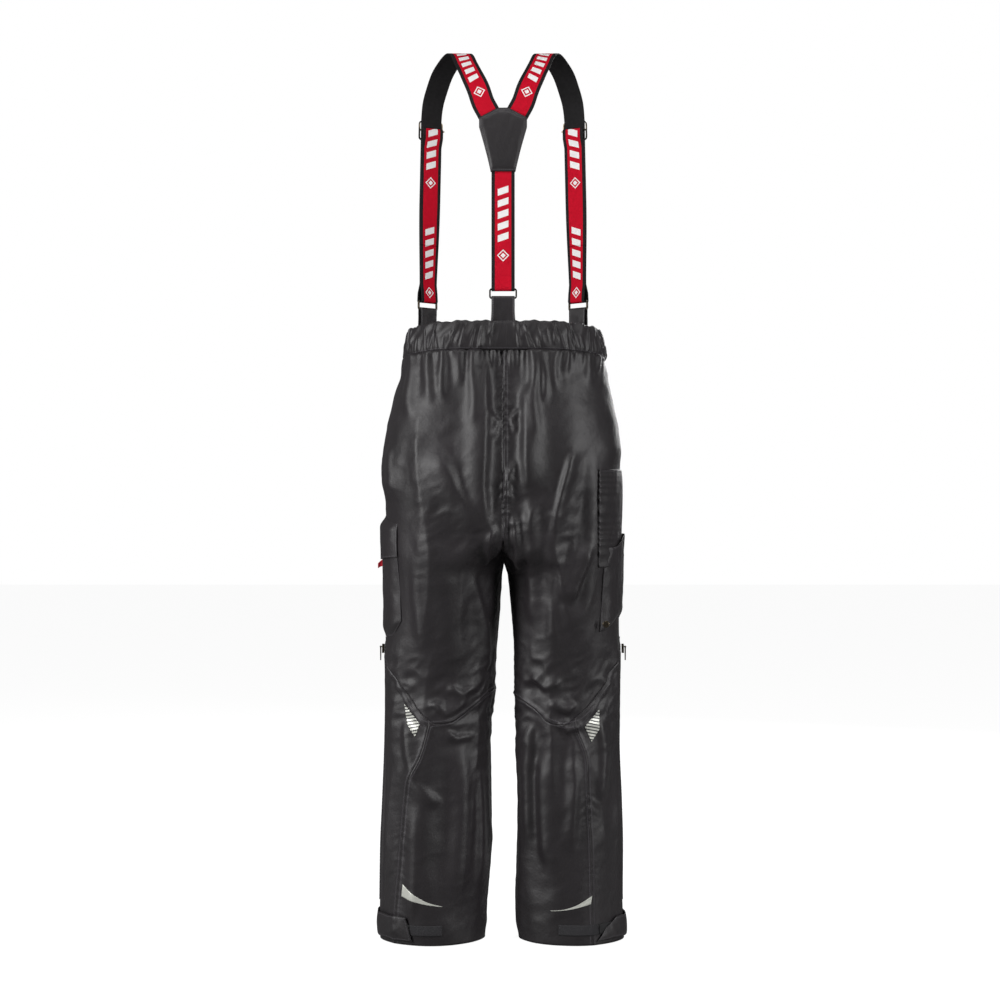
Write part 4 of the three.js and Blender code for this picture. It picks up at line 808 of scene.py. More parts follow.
def on_side(side, angle, height, out=0.0, tree=None):
    """A point out from a leg's or hip's side: angle in degrees is 0 outward and -90 at the back."""
    y = float(DEPTH_SHIFT(height))
    centre = Vector((side * LEG_MIDDLE, y, height + HEM_Z))
    turned = math.radians(angle)
    direction = Vector((side * math.cos(turned), math.sin(turned), 0))
    hit, normal, _, _ = (tree or plain_tree).ray_cast(centre + direction * 0.3, -direction, 0.6)
    if hit is None:
        hit, normal = centre + direction * 0.1, direction
    if normal.dot(direction) < 0:
        normal = -normal
    return np.array(hit + normal * out)


def grid_of(rows, columns, place):
    """A rows x columns grid of place(s, t), which both run from 0 to 1."""
    return np.array([[place(c / (columns - 1), r / (rows - 1)) for c in range(columns)] for r in range(rows)])


def side_patch(side, where, rows, columns, out, tree=None):
    """A grid over a side; where(s, t) gives (angle, height) and out(s, t) the distance out."""
    return grid_of(rows, columns, lambda s, t: on_side(side, *where(s, t), out(s, t), tree))


def grid_uv(points):
    """Flat cloth places of a grid, from the lengths of its edges."""
    across = np.linalg.norm(np.diff(points, axis=1), axis=2).mean(0)
    up = np.linalg.norm(np.diff(points, axis=0), axis=2).mean(1)
    u, v = np.concatenate([[0], np.cumsum(across)]), np.concatenate([[0], np.cumsum(up)])
    return np.stack(np.meshgrid(u, v), -1)


def edge_distance(points, sides="lrbt"):
    """Distance of each grid point from the nearest named edge, for stitch rows; far where no edge is named."""
    uv = grid_uv(points)
    u, v = uv[..., 0], uv[..., 1]
    edges = {"l": u, "r": u.max() - u, "b": v, "t": v.max() - v}
    return np.min([np.full(u.shape, 1.0), *(edges[side] for side in sides)], 0)


# ------------------------------------------------------------------ waistband
BAND_COLUMNS = 900
BAND_CREASES = 120
BAND_ROWS = (30, 9, 10)  # up the outside, over the rim, down the inside
RIM_SHARE = 0.96  # of the casing's height, where the cloth turns over the rim
RIM_RADIUS = 0.0026
CASING_OUT, CASING_IN = 0.0018, -0.0034  # how far the two layers lie from the waist's own line
ELASTIC_WIDTH, ELASTIC_ROWS, ELASTIC_INSET = 0.037, 8, 0.0014


def band_ring():
    """Columns round the waist: side, q and the distance round, starting at the back's middle to the right."""
    q = np.linspace(-1, 1, BAND_COLUMNS // 2, endpoint=False)
    right = [(RIGHT, v) for v in q]
    left = [(LEFT, -v) for v in q]
    columns = right + left
    places = np.array([hip_points(s, np.array(v), np.array(BAND_TOP - 0.02)) for s, v in columns])
    steps = np.linalg.norm(np.roll(places, -1, 0) - places, axis=1)
    return columns, np.concatenate([[0], np.cumsum(steps)[:-1]]), steps.sum(), places


def narrower_left(points):
    """The waist sits a little to the right, so its left end is drawn in."""
    made = points.copy()
    made[..., 0] *= 1 - SHRUNK_LEFT * smooth(0.10, 0.16, -points[..., 0])
    return made


def make_waistband():
    """The gathered casing: up outside the elastic, over its rim and down inside."""
    columns, around, girth, places = band_ring()
    rows_out, rows_top, rows_in = BAND_ROWS
    rng = np.random.default_rng(5)
    creases = []
    for i in range(BAND_CREASES):
        start = (i + rng.uniform(-0.4, 0.4)) / BAND_CREASES * girth
        low, high = (0.0, rng.uniform(0.35, 1.0)) if rng.random() < 0.62 else (rng.uniform(0.1, 0.5), 1.0)
        creases.append((start, start + rng.normal(0, 0.008) * (high - low), low, high,
                        rng.uniform(0.0022, 0.0056), rng.uniform(0.0008, 0.0026), rng.choice([-0.9, 0.9])))
    middle_back = np.exp(-(((places[:, 0] - 0.003) / 0.019) ** 6)) * (places[:, 1] < 0)

    def relief(v):
        total = np.zeros(len(around))
        for low_at, high_at, low, high, half, proud, steep in creases:
            if not low - 0.15 <= v <= high + 0.15:
                continue
            share = np.clip((v - low) / max(high - low, 0.05), 0, 1)
            at = low_at + (high_at - low_at) * share
            away = (around - at + girth / 2) % girth - girth / 2
            width = np.where(away * steep > 0, half * 0.35, half)
            ends = smooth(low - 0.15, low + 0.1, v) * (1 - smooth(high - 0.1, high + 0.15, v))
            total += proud * ends * np.exp(-((away / width) ** 2))
        total += 0.0010 * np.sin(around / girth * 2 * math.pi * 31 + 2 * math.sin(v * 5)) * (0.4 + v)
        return total * (1 - 0.85 * middle_back)

    base_low = np.array([hip_points(s, np.array(v), np.array(BAND_BOTTOM)) for s, v in columns])
    base_high = np.array([hip_points(s, np.array(v), np.array(BAND_TOP)) for s, v in columns])
    tangent = np.roll(places, -1, 0) - np.roll(places, 1, 0)
    outward = np.stack([tangent[:, 1], -tangent[:, 0], 0 * around], -1)
    outward /= np.linalg.norm(outward, axis=1)[:, None]
    rows, attribute = [], []

    def row(v, out, seam):
        line = base_low + (base_high - base_low) * v
        rows.append(line + outward * np.ravel(out)[:, None])
        attribute.append(np.full(len(around), seam))

    crest = relief(1.0)
    for i in range(rows_out):
        v = i / (rows_out - 1) * RIM_SHARE
        puff = 0.0018 * math.sin(math.pi * min(1, v * 1.06)) ** 0.5
        tuck = 0.0022 * math.exp(-v / 0.05)
        row(v, CASING_OUT + puff - tuck + relief(v) * (0.25 + 0.75 * smooth(0.0, 0.16, v)), v * 0.05)
    for i in range(1, rows_top):
        turn = i / (rows_top - 1) * math.pi
        out = CASING_OUT - RIM_RADIUS + RIM_RADIUS * math.cos(turn)
        row(RIM_SHARE + math.sin(turn) * 0.045, out + crest * (1 - i / rows_top), 0.05)
    for i in range(1, rows_in):
        v = RIM_SHARE * (1 - i / (rows_in - 1))
        row(v, CASING_IN - 0.0012 * math.sin(math.pi * v) + 0.4 * relief(v) - 0.4 * 0.0012, v * 0.05)
    points = to_frame(np.array(rows).reshape(-1, 3)).reshape(len(rows), -1, 3)
    points = narrower_left(points)
    once = around / girth * 2 * math.pi
    lift = (0.0009 * np.sin(once * 23) + 0.0007 * np.sin(once * 57)) * (1 - middle_back)
    count = np.arange(len(rows))
    share = np.clip(count / rows_out, 0, 1) * (count < rows_out + rows_top)
    points[..., 2] += lift * share[:, None]
    v = np.cumsum(np.concatenate([[0], np.linalg.norm(np.diff(points, axis=0), axis=2).mean(1)]))
    uv = np.stack(np.meshgrid(around, v), -1)
    sheet_piece("waistband_cloth", points, "waistband_casing", np.array(attribute), uv,
                wall=SHELL_CLOTH, closed=True, held="gathered", on=("waist_elastic_band",))


def make_elastic():
    """The wide elastic inside the waistband's casing."""
    columns, around, _, _ = band_ring()
    picked = list(range(0, BAND_COLUMNS, 4))
    rows = []
    for share in np.arange(ELASTIC_ROWS) / (ELASTIC_ROWS - 1):
        height = BAND_BOTTOM + 0.006 + ELASTIC_WIDTH * share
        ring = np.array([hip_points(columns[k][0], np.array(columns[k][1]), np.array(height)) for k in picked])
        out = ring * np.array([1, 1, 0])
        out /= np.linalg.norm(out, axis=1)[:, None]
        rows.append(ring - out * ELASTIC_INSET)
    points = to_frame(np.array(rows).reshape(-1, 3)).reshape(ELASTIC_ROWS, -1, 3)
    points = narrower_left(points)
    uv = np.stack(np.meshgrid(around[picked], np.linspace(0, ELASTIC_WIDTH, ELASTIC_ROWS)), -1)
    sheet_piece("waist_elastic_band", points, "waist_elastic", uv=uv, wall=0.0016, closed=True,
                materials=(ELASTIC,), held="stretched", on=("front_panel_left_cloth",), slot="elastic")


# ------------------------------------------------------------------ tabs
TURN = math.radians(46.6)  # which way the front tabs face, away from straight ahead
RING_LOW = 0.0498
RING_HIGH = 0.0654
FRONT_RING = (0.13742, 0.08839)
BACK_RING_Y = -0.125
TAB_EYE = 0.0032  # from a ring's lower bar to the cloth folded over it
TAB_OUT = 0.0062  # from a ring's plane to a front tab's outer end
TAB_WIDTH, TAB_FLARE = 0.040, 0.003


def flat_ribbon(path, width, columns=11):
    """A rows x columns grid across X from (y, z) points; width may change from row to row."""
    path = np.array(path, float)
    widths = np.broadcast_to(width, len(path))
    across = np.linspace(-0.5, 0.5, columns)
    made = np.zeros((len(path), columns, 3))
    made[..., 0] = across[None, :] * widths[:, None]
    made[..., 1], made[..., 2] = path[:, 0, None], path[:, 1, None]
    return made


def resample(path, step):
    path = np.array(path, float)
    lengths = np.concatenate([[0], np.cumsum(np.linalg.norm(np.diff(path, axis=0), axis=1))])
    count = max(4, int(lengths[-1] / step))
    at = np.linspace(0, lengths[-1], count)
    return np.stack([np.interp(at, lengths, path[:, i]) for i in range(path.shape[1])], -1)


def arc(cy, cz, ry, rz, start, end, steps=14):
    turned = np.radians(np.linspace(start, end, steps))
    return [(cy + ry * math.cos(a), cz + rz * math.sin(a)) for a in turned]


def make_tab(name, node, place, turn, rim_z):
    """A strip folded over a ring's lower bar and sewn to the casing, whose rim is at rim_z."""
    if place[1] < 0:  # the back tab goes into the casing at its rim, the front ones lie over it
        outer = [(0.0016, rim_z - 0.006), (TAB_EYE, rim_z + 0.008)]
    else:
        outer = [(TAB_OUT + 0.0002, rim_z - 0.047), (TAB_OUT + 0.0014, rim_z - 0.03),
                 (TAB_OUT + 0.0010, rim_z - 0.004), (TAB_OUT - 0.0008, rim_z + 0.006)]
    inner = [(-TAB_EYE - 0.0006, rim_z + 0.03), (-TAB_EYE - 0.0004, rim_z + 0.012),
             (-TAB_EYE + 0.0010, rim_z - 0.004)]
    path = [*outer, (TAB_EYE + 0.0004, rim_z + 0.022), *arc(0, RING_LOW, TAB_EYE, TAB_EYE, 0, 180), *inner]
    path = resample(path, 0.0018)
    width = TAB_WIDTH + TAB_FLARE * (1 - smooth(-0.01, 0.02, path[:, 1] - rim_z))
    points = flat_ribbon(path, width, 13)
    ripple = waves(points.reshape(-1, 3), 0.022, 17 + len(name), 3, (1, 1, 1.6)).reshape(points.shape[:2])
    points[..., 1] += 0.0011 * ripple * smooth(0.004, 0.014, np.abs(path[:, 1] - RING_LOW))[:, None]
    c, s = math.cos(turn), math.sin(turn)
    x, y = points[..., 0].copy(), points[..., 1].copy()
    points[..., 0], points[..., 1] = place[0] + c * x - s * y, place[1] + s * x + c * y
    sheet_piece(name, points, node, "lr", wall=0.0013, held="folded", on=("waistband_cloth",), offset=0.0)


# ------------------------------------------------------------------ braces
YOKE_BOTTOM = 0.203
YOKE_HEIGHT = 0.110
YOKE_SHOULDER = 0.093  # height of its shoulder corners
YOKE_FOOT_HALF, YOKE_SHOULDER_HALF, YOKE_TOP_HALF = 0.021, 0.041, 0.009
BACK_LEAN = 0.03
FOLD_ROOM, FOLD_DROP, LAYERS = 0.0057, 0.0029, 0.0021
BAR_EYE, BAR_DEPTH = 0.0030, -0.0051
ADJUSTER_ALONG = 0.310
RUN_START = 0.012
ADJUSTER_TURN = math.radians(26)
SHOULDER_TOP = 0.494
STRAP_ROOT = 0.025  # how far from the middle a shoulder strap starts in the yoke
ARCH_STATIONS, RUN_STATIONS, TAIL_STATIONS, FOLD_STATIONS = 170, 70, 52, 18
FOLD_END = 0.030  # up the run, where the two layers come together above the front ring
# How far each point of the arch has come from the yoke to the adjuster, sideways and forwards, and how far it
# lies below the arch's top.
ARCH = (
    (0.09, 0.025, 0.081), (0.194, 0.094, 0.057), (0.309, 0.208, 0.031), (0.403, 0.362, 0.008), (0.507, 0.555, 0),
    (0.653, 0.739, 0.008), (0.789, 0.858, 0.024), (0.893, 0.943, 0.047), (0.967, 0.988, 0.070),
)
RUN = np.array([-7, -2, 310.0])
RUN /= np.linalg.norm(RUN)
UP = np.array([0, 0, 1.0])


def unit(vector):
    return vector / np.linalg.norm(vector)


def on_back_plane(points):
    """From (x, out, up) beside the back ring's upper bar to the frame; the plane leans forward."""
    made = np.array(points, float)
    lean = math.atan(BACK_LEAN)
    y, z = -made[..., 1].copy(), made[..., 2].copy()
    made[..., 1] = BACK_RING_Y + y * math.cos(lean) + z * math.sin(lean)
    made[..., 2] = RING_HIGH + z * math.cos(lean) - y * math.sin(lean)
    return made


def run_frame(along):
    rising = float(smooth(RUN_START, 0.6 * ADJUSTER_ALONG, along))
    turn = TURN + (ADJUSTER_TURN - TURN) * rising
    share = min(1, max(0, (along - RUN_START) / 0.040))
    up = unit(UP * (1 - share) + RUN * share)
    face = np.array([math.sin(turn), math.cos(turn), 0])
    face = unit(face - up * face.dot(up))
    return up, face, np.cross(face, up)


def on_run(along, depth):
    straight = max(0, along - RUN_START)
    place = np.array([*FRONT_RING, RING_HIGH]) + UP * min(along, RUN_START) + RUN * straight
    return place + run_frame(along)[1] * depth


def between(p, q, start, end, at):
    return (end - at) / (end - start) * p + (at - start) / (end - start) * q


def catmull(points, count):
    """A centripetal Catmull-Rom curve through the points, at equal distances."""
    points = np.array(points, float)
    knots = np.concatenate([[2 * points[0] - points[1]], points, [2 * points[-1] - points[-2]]])
    made = []
    for i in range(1, len(knots) - 2):
        p = knots[i - 1 : i + 3]
        t = np.concatenate([[0], np.cumsum(np.sqrt(np.linalg.norm(np.diff(p, axis=0), axis=1)))])
        for at in np.linspace(t[1], t[2], 24, endpoint=i == len(knots) - 3):
            a = [between(p[k], p[k + 1], t[k], t[k + 1], at) for k in range(3)]
            b = [between(a[k], a[k + 1], t[k], t[k + 2], at) for k in range(2)]
            made.append(between(*b, t[1], t[2], at))
    made = np.array(made)
    lengths = np.concatenate([[0], np.cumsum(np.linalg.norm(np.diff(made, axis=0), axis=1))])
    at = np.linspace(0, lengths[-1], count)
    return np.stack([np.interp(at, lengths, made[:, k]) for k in range(3)], -1)


def webbing(stations, side, start=0.0, columns=15):
    """A grid of webbing along stations of (middle, across, face), with its flat cloth places."""
    across = np.linspace(-0.5, 0.5, columns) * WEBBING
    points = np.array([[m + a * w for w in across] for m, a, _ in stations])
    middles = np.array([m for m, _, _ in stations])
    along = start + np.concatenate([[0], np.cumsum(np.linalg.norm(np.diff(middles, axis=0), axis=1))])
    uv = np.stack(np.meshgrid(across + 0.5 * WEBBING, along), -1)
    points[..., 0] *= side
    return points, uv, along[-1]


def shoulder_stations():
    """The webbing from inside the yoke over the shoulder to its adjuster."""
    splay = math.radians(28)
    root_z = YOKE_BOTTOM + (YOKE_SHOULDER + YOKE_HEIGHT) / 2

    def in_plane(along):
        return on_back_plane([STRAP_ROOT + along * math.sin(splay), 0, root_z + along * math.cos(splay)])

    start, end = in_plane(0.020), on_run(ADJUSTER_ALONG + 0.022, 0)
    arch = [(start[0] + (end[0] - start[0]) * a, start[1] + (end[1] - start[1]) * b, SHOULDER_TOP - drop)
            for a, b, drop in ARCH]
    knots = [in_plane(-0.009), in_plane(0.004), start, *arch, end, on_run(ADJUSTER_ALONG - 0.020, 0)]
    curve = catmull(knots, ARCH_STATIONS)
    heart = np.array([0, 0, SHOULDER_TOP - 0.160])
    yoke_face, run_face = unit(np.array([0, -1, BACK_LEAN])), run_frame(ADJUSTER_ALONG)[1]
    stations = []
    for i, place in enumerate(curve):
        t = i / (len(curve) - 1)
        along = unit(curve[min(len(curve) - 1, i + 1)] - curve[max(0, i - 1)])
        away = unit(np.array([0, place[1] - heart[1], place[2] - heart[2]]))
        share = min(1, max(0, 1.5 - t / 0.16))
        away = away * (1 - share) + yoke_face * share
        share = min(1, max(0, (t - 0.6) / 0.28))
        away = away * (1 - share) + run_face * share
        face = unit(away - along * away.dot(along))
        stations.append((place, unit(np.cross(along, face)), face))
    return stations


def run_stations(path):
    places = np.array([on_run(along, depth) for along, depth in path])
    stations = []
    for i, (along, _) in enumerate(path):
        across = run_frame(along)[2]
        direction = places[min(len(places) - 1, i + 1)] - places[max(0, i - 1)]
        stations.append((places[i], across, unit(np.cross(across, direction))))
    return stations


def bend(along, depth, r_along, r_depth, start, end, steps=16):
    turned = np.radians(np.linspace(start, end, steps))
    return [(along + r_along * math.sin(a), depth + r_depth * math.cos(a)) for a in turned]


TAIL_FROM = 0.100
# Where in the 200 mm of marks each length of webbing starts or ends.
MARKS_BACK = 0.114
MARKS_YOKE = -0.036
MARKS_ADJUSTER = 0.128


def make_braces():
    """Name, node, grid, flat places and facing of each length of webbing."""
    made = []
    # Back strap: its tail, its fold round the ring's bar, and the length up into the yoke.
    tail = 0.027
    path = [(LAYERS, tail), (LAYERS, tail - 0.008), (FOLD_ROOM, 0.004),
            *arc(0, 0, FOLD_ROOM, FOLD_DROP, 0, -180), (-FOLD_ROOM, 0.004),
            (0, tail - 0.008), (0, tail), (0, YOKE_BOTTOM + 0.022)]
    path = resample(path, 0.0022)
    grid = flat_ribbon(path, WEBBING, 15)[:, ::-1]
    points = on_back_plane(grid * np.array([1, -1, 1]))
    uv = grid_uv(points)
    uv[..., 1] += MARKS_BACK
    made.append(("back_strap_webbing", "back_strap", points, uv, True))
    for word, side in SIDES:
        run = [(a, 0) for a in np.linspace(ADJUSTER_ALONG - 0.0225, FOLD_END, RUN_STATIONS)]
        down = [*run, (0.014, FOLD_ROOM - 0.001), *bend(0, 0, FOLD_DROP, FOLD_ROOM, 0, -180),
                (0.014, 0.001 - FOLD_ROOM),
                *[(a, -LAYERS) for a in np.linspace(FOLD_END, TAIL_FROM, FOLD_STATIONS)]]
        up = [*[(a, -LAYERS) for a in np.linspace(TAIL_FROM, ADJUSTER_ALONG - 0.030, TAIL_STATIONS)],
              (ADJUSTER_ALONG - 0.014, BAR_DEPTH - BAR_EYE),
              *bend(ADJUSTER_ALONG, BAR_DEPTH, BAR_EYE, BAR_EYE, 180, 0), (ADJUSTER_ALONG - 0.009, -LAYERS)]
        arch = shoulder_stations()
        points, uv, length = webbing(arch + run_stations(down), side, start=MARKS_YOKE)
        _, _, tail_length = webbing(run_stations(up), side)
        after_ring = len(arch) + len(run) + 9  # the marks change over where the webbing turns round the ring
        jump = MARKS_ADJUSTER - (length + tail_length)
        uv[after_ring:, :, 1] += jump
        length += jump
        made.append((f"shoulder_strap_{word}_webbing", f"shoulder_strap_{word}", points, uv, side == LEFT))
        points, uv, _ = webbing(run_stations(up), side, start=length)
        made.append((f"strap_tail_{word}_webbing", None, points, uv, side == LEFT))
    return made


def fit_braces():
    """Makes the webbing; the lengths that leave the trousers' body for a strap or an adjuster are not attached to
    it.
    """
    for name, node, points, uv, flip in make_braces():
        body = "trousers" if name.startswith("back") else None
        obj = sheet_piece(name, points, node, uv=uv, wall=WEBBING_WALL, flip=flip, offset=0.0, held="hung",
                          on=("yoke_outer_cloth",), materials=(RED_WEBBING, BLACK_WEBBING), slot="webbing",
                          body=body)
        if body:
            continue
        side = LEFT if "left" in name else RIGHT
        ring = np.array([side * FRONT_RING[0], FRONT_RING[1], RING_HIGH])
        if name.startswith("shoulder"):
            root = np.array([side * STRAP_ROOT, -0.1159, 0.3698])
            chord = unit(root - ring)
            top = np.array([side * 0.095, 0.0, SHOULDER_TOP])
            away = unit((top - ring) - chord * (top - ring).dot(chord))
            start, end = ring + away * 0.008, ring + away * 0.055
            tuple(start)
            tuple(end)
            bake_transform(obj)
        else:
            low, high = on_run(TAIL_FROM + 0.01, 0), on_run(ADJUSTER_ALONG - 0.050, 0)
            low[0] *= side
            high[0] *= side
            tuple(low)
            tuple(high)
            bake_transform(obj)


def make_yoke():
    """The yoke's two layers: pointed between the shoulder straps, turned under and stitched at its edges."""
    for name, out, flip in (("yoke_outer", LAYERS, True), ("yoke_inner", -LAYERS, False)):

        def place(s, t):
            # The side edge runs out to the shoulder corner; the top runs back up to a short flat middle.
            s = s * 2 - 1
            half = YOKE_FOOT_HALF + (YOKE_SHOULDER_HALF - YOKE_FOOT_HALF) * min(1, t / 0.83) ** 1.12
            slope = max(0, (abs(s) * YOKE_SHOULDER_HALF - YOKE_TOP_HALF) / (YOKE_SHOULDER_HALF - YOKE_TOP_HALF))
            top = YOKE_HEIGHT - (YOKE_HEIGHT - YOKE_SHOULDER) * slope
            edge = min(1 - abs(s), t * 2.4, (1 - t) * 2.4)
            puff = 0.0022 * (1 - math.exp(-edge / 0.10)) - 0.0008 * math.exp(-(((edge - 0.10) / 0.05) ** 2))
            return s * half, out + math.copysign(puff, out), YOKE_BOTTOM + t * top

        points = grid_of(60, 41, place)
        ripple = waves(points.reshape(-1, 3), 0.03, 71, 3, (0.8, 1, 2.2)).reshape(points.shape[:2])
        points[..., 1] += math.copysign(0.0009, out) * ripple
        sheet_piece(f"{name}_cloth", on_back_plane(points), name, "lrbt", wall=0.0011, flip=flip,
                    on=("back_strap_webbing",))


# ------------------------------------------------------------------ pockets
POCKET_BACK, POCKET_FRONT = -50.0, 40.0
POCKET_BOTTOM, POCKET_TOP = 0.541, 0.718
RULE_BACK, RULE_FRONT = -57.0, 30.0
BACKING_BOTTOM, BACKING_TOP = 0.66, 0.829
BACKING_EDGE = 0.163  # how far from the middle the backing's back edge runs
BELLOWS_OUT, RULE_OUT = 0.0080, 0.0065


def bag_profile(s, t, depth):
    """How far a pocket stands out: a bellows up from its sewn edges, then a soft crown."""
    near = min(min(s, 1 - s) * 5.2, t * 6.0)
    wall = 1 - math.exp(-((near / 0.34) ** 1.6))
    return 0.0008 + depth * wall * (0.86 + 0.14 * math.sin(math.pi * s))


def crumpled(points, out_of, amount, size, seed):
    """Moves a patch's points out and in by soft creases."""
    flat = points.reshape(-1, 3)
    crease = 1 - 2 * np.abs(waves(flat, size, seed, 3, (1, 1, 1.3)))
    roll = waves(flat, size * 1.7, seed + 1, 2)
    move = amount * (0.6 * crease + 0.6 * roll).reshape(points.shape[:2])
    return points + out_of * move[..., None]


def outward_of(points, side):
    centre = np.array([side * LEG_MIDDLE, 0, 0])
    away = points - centre
    away[..., 2] = 0
    return away / np.linalg.norm(away, axis=2)[..., None]


def make_bellows_pocket():
    """The left thigh's pocket, its flap and its label."""
    def pocket_where(s, t):
        # The lower corners are cut off into a lobe.
        corner = max(0, abs(s - 0.5) * 2 - 0.55) / 0.45
        bottom = POCKET_BOTTOM - 0.006 + 0.030 * corner**1.5
        return POCKET_BACK + (POCKET_FRONT - POCKET_BACK) * s, bottom + (POCKET_TOP + 0.004 - bottom) * t

    points = side_patch(LEFT, pocket_where, 74, 70, lambda s, t: bag_profile(s, t, BELLOWS_OUT))
    points = crumpled(points, outward_of(points, LEFT), 0.0016, 0.045, 31)
    sheet_piece("bellows_pocket_cloth", points, "bellows_pocket", "lrb", flip=True,
                on=("back_panel_left_cloth",))

    def flap_where(s, t):
        top = 0.752 - 0.017 * (1 - s) ** 2
        bottom = 0.674 + 0.0025 * math.cos(2 * math.pi * s)
        return POCKET_BACK - 1 + (POCKET_FRONT - POCKET_BACK + 2) * s, bottom + (top - bottom) * t

    def flap_out(s, t):
        rise = min(1, (1 - t) / 0.26)
        return 0.0012 + (bag_profile(s, 0.5, BELLOWS_OUT) + 0.0016) * math.sin(rise * math.pi / 2) ** 1.3

    points = side_patch(LEFT, flap_where, 40, 70, flap_out)
    points = crumpled(points, outward_of(points, LEFT), 0.0010, 0.035, 37)
    flap = sheet_piece("pocket_flap_cloth", points, "pocket_flap", "lrb", wall=0.0016, flip=True, body=None,
                       on=("bellows_pocket_cloth",))
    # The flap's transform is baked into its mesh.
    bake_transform(flap)

    base = on_side(LEFT, 3, 0.665, 0.0075)
    low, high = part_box("pocket_label")

    def label_place(s, t):
        return (base[0] - (high.x - low.x) * s * 1.15, base[1] + 0.0011 * math.sin(3 * s + t),
                low.z + (high.z - low.z) * t * (1 - 0.35 * s) - 0.004 * s * s)

    sheet_piece("pocket_label_ribbon", grid_of(8, 14, label_place), "pocket_label", wall=0.0008,
                materials=(LABEL,), offset=0.0, slot="label", on=("bellows_pocket_cloth",))


def backing_angle(height):
    """Where on the right side the backing's back edge, which runs straight up, lies at a height."""
    behind, ahead = -85.0, -30.0
    while ahead - behind > 0.05:
        angle = (behind + ahead) / 2
        if on_side(RIGHT, angle, height)[0] < BACKING_EDGE:
            behind = angle
        else:
            ahead = angle
    return ahead


def make_rule_pocket():
    """The right thigh's pocket and its backing, which reaches higher."""
    def rule_where(s, t):
        bottom = 0.547 + 0.022 * smooth(0.0, 0.45, s) - 0.012 * smooth(0.55, 1.0, s)
        top = 0.694 + 0.022 * smooth(0.1, 0.55, s)
        return RULE_BACK + (RULE_FRONT - RULE_BACK) * s, float(bottom + (top - bottom) * t)

    points = side_patch(RIGHT, rule_where, 74, 66, lambda s, t: bag_profile(s, t, RULE_OUT) + 0.005 * s * t**4)
    points = crumpled(points, outward_of(points, RIGHT), 0.0017, 0.040, 41)
    sheet_piece("rule_pocket_cloth", points, "rule_pocket", "lt", on=("back_panel_right_cloth",))

    def backing_height(t):
        return BACKING_BOTTOM + (BACKING_TOP - BACKING_BOTTOM) * t

    def backing_where(s, t):
        back = backing_angle(backing_height(t))
        return back + (RULE_FRONT - back) * s, backing_height(t)

    def backing_out(s, t):
        beat = backing_height(t) * 2 * math.pi / 0.013 + 3 * math.sin(backing_height(t) * 70)
        pucker = 0.0016 * math.sin(beat) * math.exp(-s / 0.13)
        edge = min(s * 5, (1 - s) * 5, (1 - t) * 6)
        return 0.0022 + 0.0026 * (1 - math.exp(-edge / 0.5)) + max(-0.0006, pucker)

    points = side_patch(RIGHT, backing_where, 84, 60, backing_out)
    points = crumpled(points, outward_of(points, RIGHT), 0.0011, 0.035, 43)
    sheet_piece("rule_pocket_backing_cloth", points, "rule_pocket_backing", "lrt",
                on=("back_panel_right_cloth",))


# ------------------------------------------------------------------ leg zips
ZIP_TOP, ZIP_BOTTOM = 0.522, 0.064


def zip_strip(side, half_width, low, high, rows, columns, out):
    def where(s, t):
        height = low + (high - low) * t
        return math.degrees((2 * s - 1) * half_width / float(HALF_DEPTH(height))), height

    return side_patch(side, where, rows, columns, out)


def make_zips():
    for word, side in SIDES:
        flip = side == LEFT
        panel = f"lower_side_panel_{word}_cloth"
        points = zip_strip(side, 0.013, ZIP_BOTTOM, ZIP_TOP, 90, 9, lambda s, t: 0.0009)
        sheet_piece(f"zip_tape_{word}_cloth", points, f"zip_tape_{word}", edge_distance(points, "lr") - 0.001,
                    flip=flip, materials=(ZIP_TAPE,), slot="zip", on=(panel,))
        # Coil zip: its turns stand 1.3 mm apart, drawn at 2.6 mm so that they show.
        rows = 700

        def coil(s, t):
            turn = math.sin(t * rows / 4 * 2 * math.pi)
            across = math.sin(math.pi * s)
            split = 0.0007 * math.exp(-(((s - 0.5) / 0.10) ** 2))
            return 0.0016 + 0.0009 * across**0.5 + 0.0004 * turn * across - split

        points = zip_strip(side, 0.0026, ZIP_BOTTOM + 0.002, ZIP_TOP - 0.002, rows, 9, coil)
        faces = [f[::-1] if flip else f for f in grid_faces(rows, 9)]
        flat_places = grid_uv(points).reshape(-1, 2)
        chain = new_object(f"zip_chain_{word}_coil", points.reshape(-1, 3), faces, flat_places)
        thicken(chain, 0.0010)
        paint(chain, ZIP_COIL)
        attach(chain, "trousers")
        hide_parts(f"zip_chain_{word}")

        def flap_where(s, t):
            height = ZIP_BOTTOM + (ZIP_TOP + 0.010 - ZIP_BOTTOM) * t
            return math.degrees((0.014 + 0.020 * s) / float(HALF_DEPTH(height))), height

        def flap_out(s, t):
            return 0.0010 + 0.0022 * math.exp(-s / 0.35) + 0.0006 * math.sin(t * 95 + 2 * math.sin(t * 31))

        points = side_patch(side, flap_where, 120, 12, flap_out)
        sheet_piece(f"storm_flap_{word}_cloth", points, f"storm_flap_{word}", "lr", flip=flip, on=(panel,))


# ------------------------------------------------------------------ hem tabs and their tape
TAPE_LOW, TAPE_HIGH = 0.018, 0.036


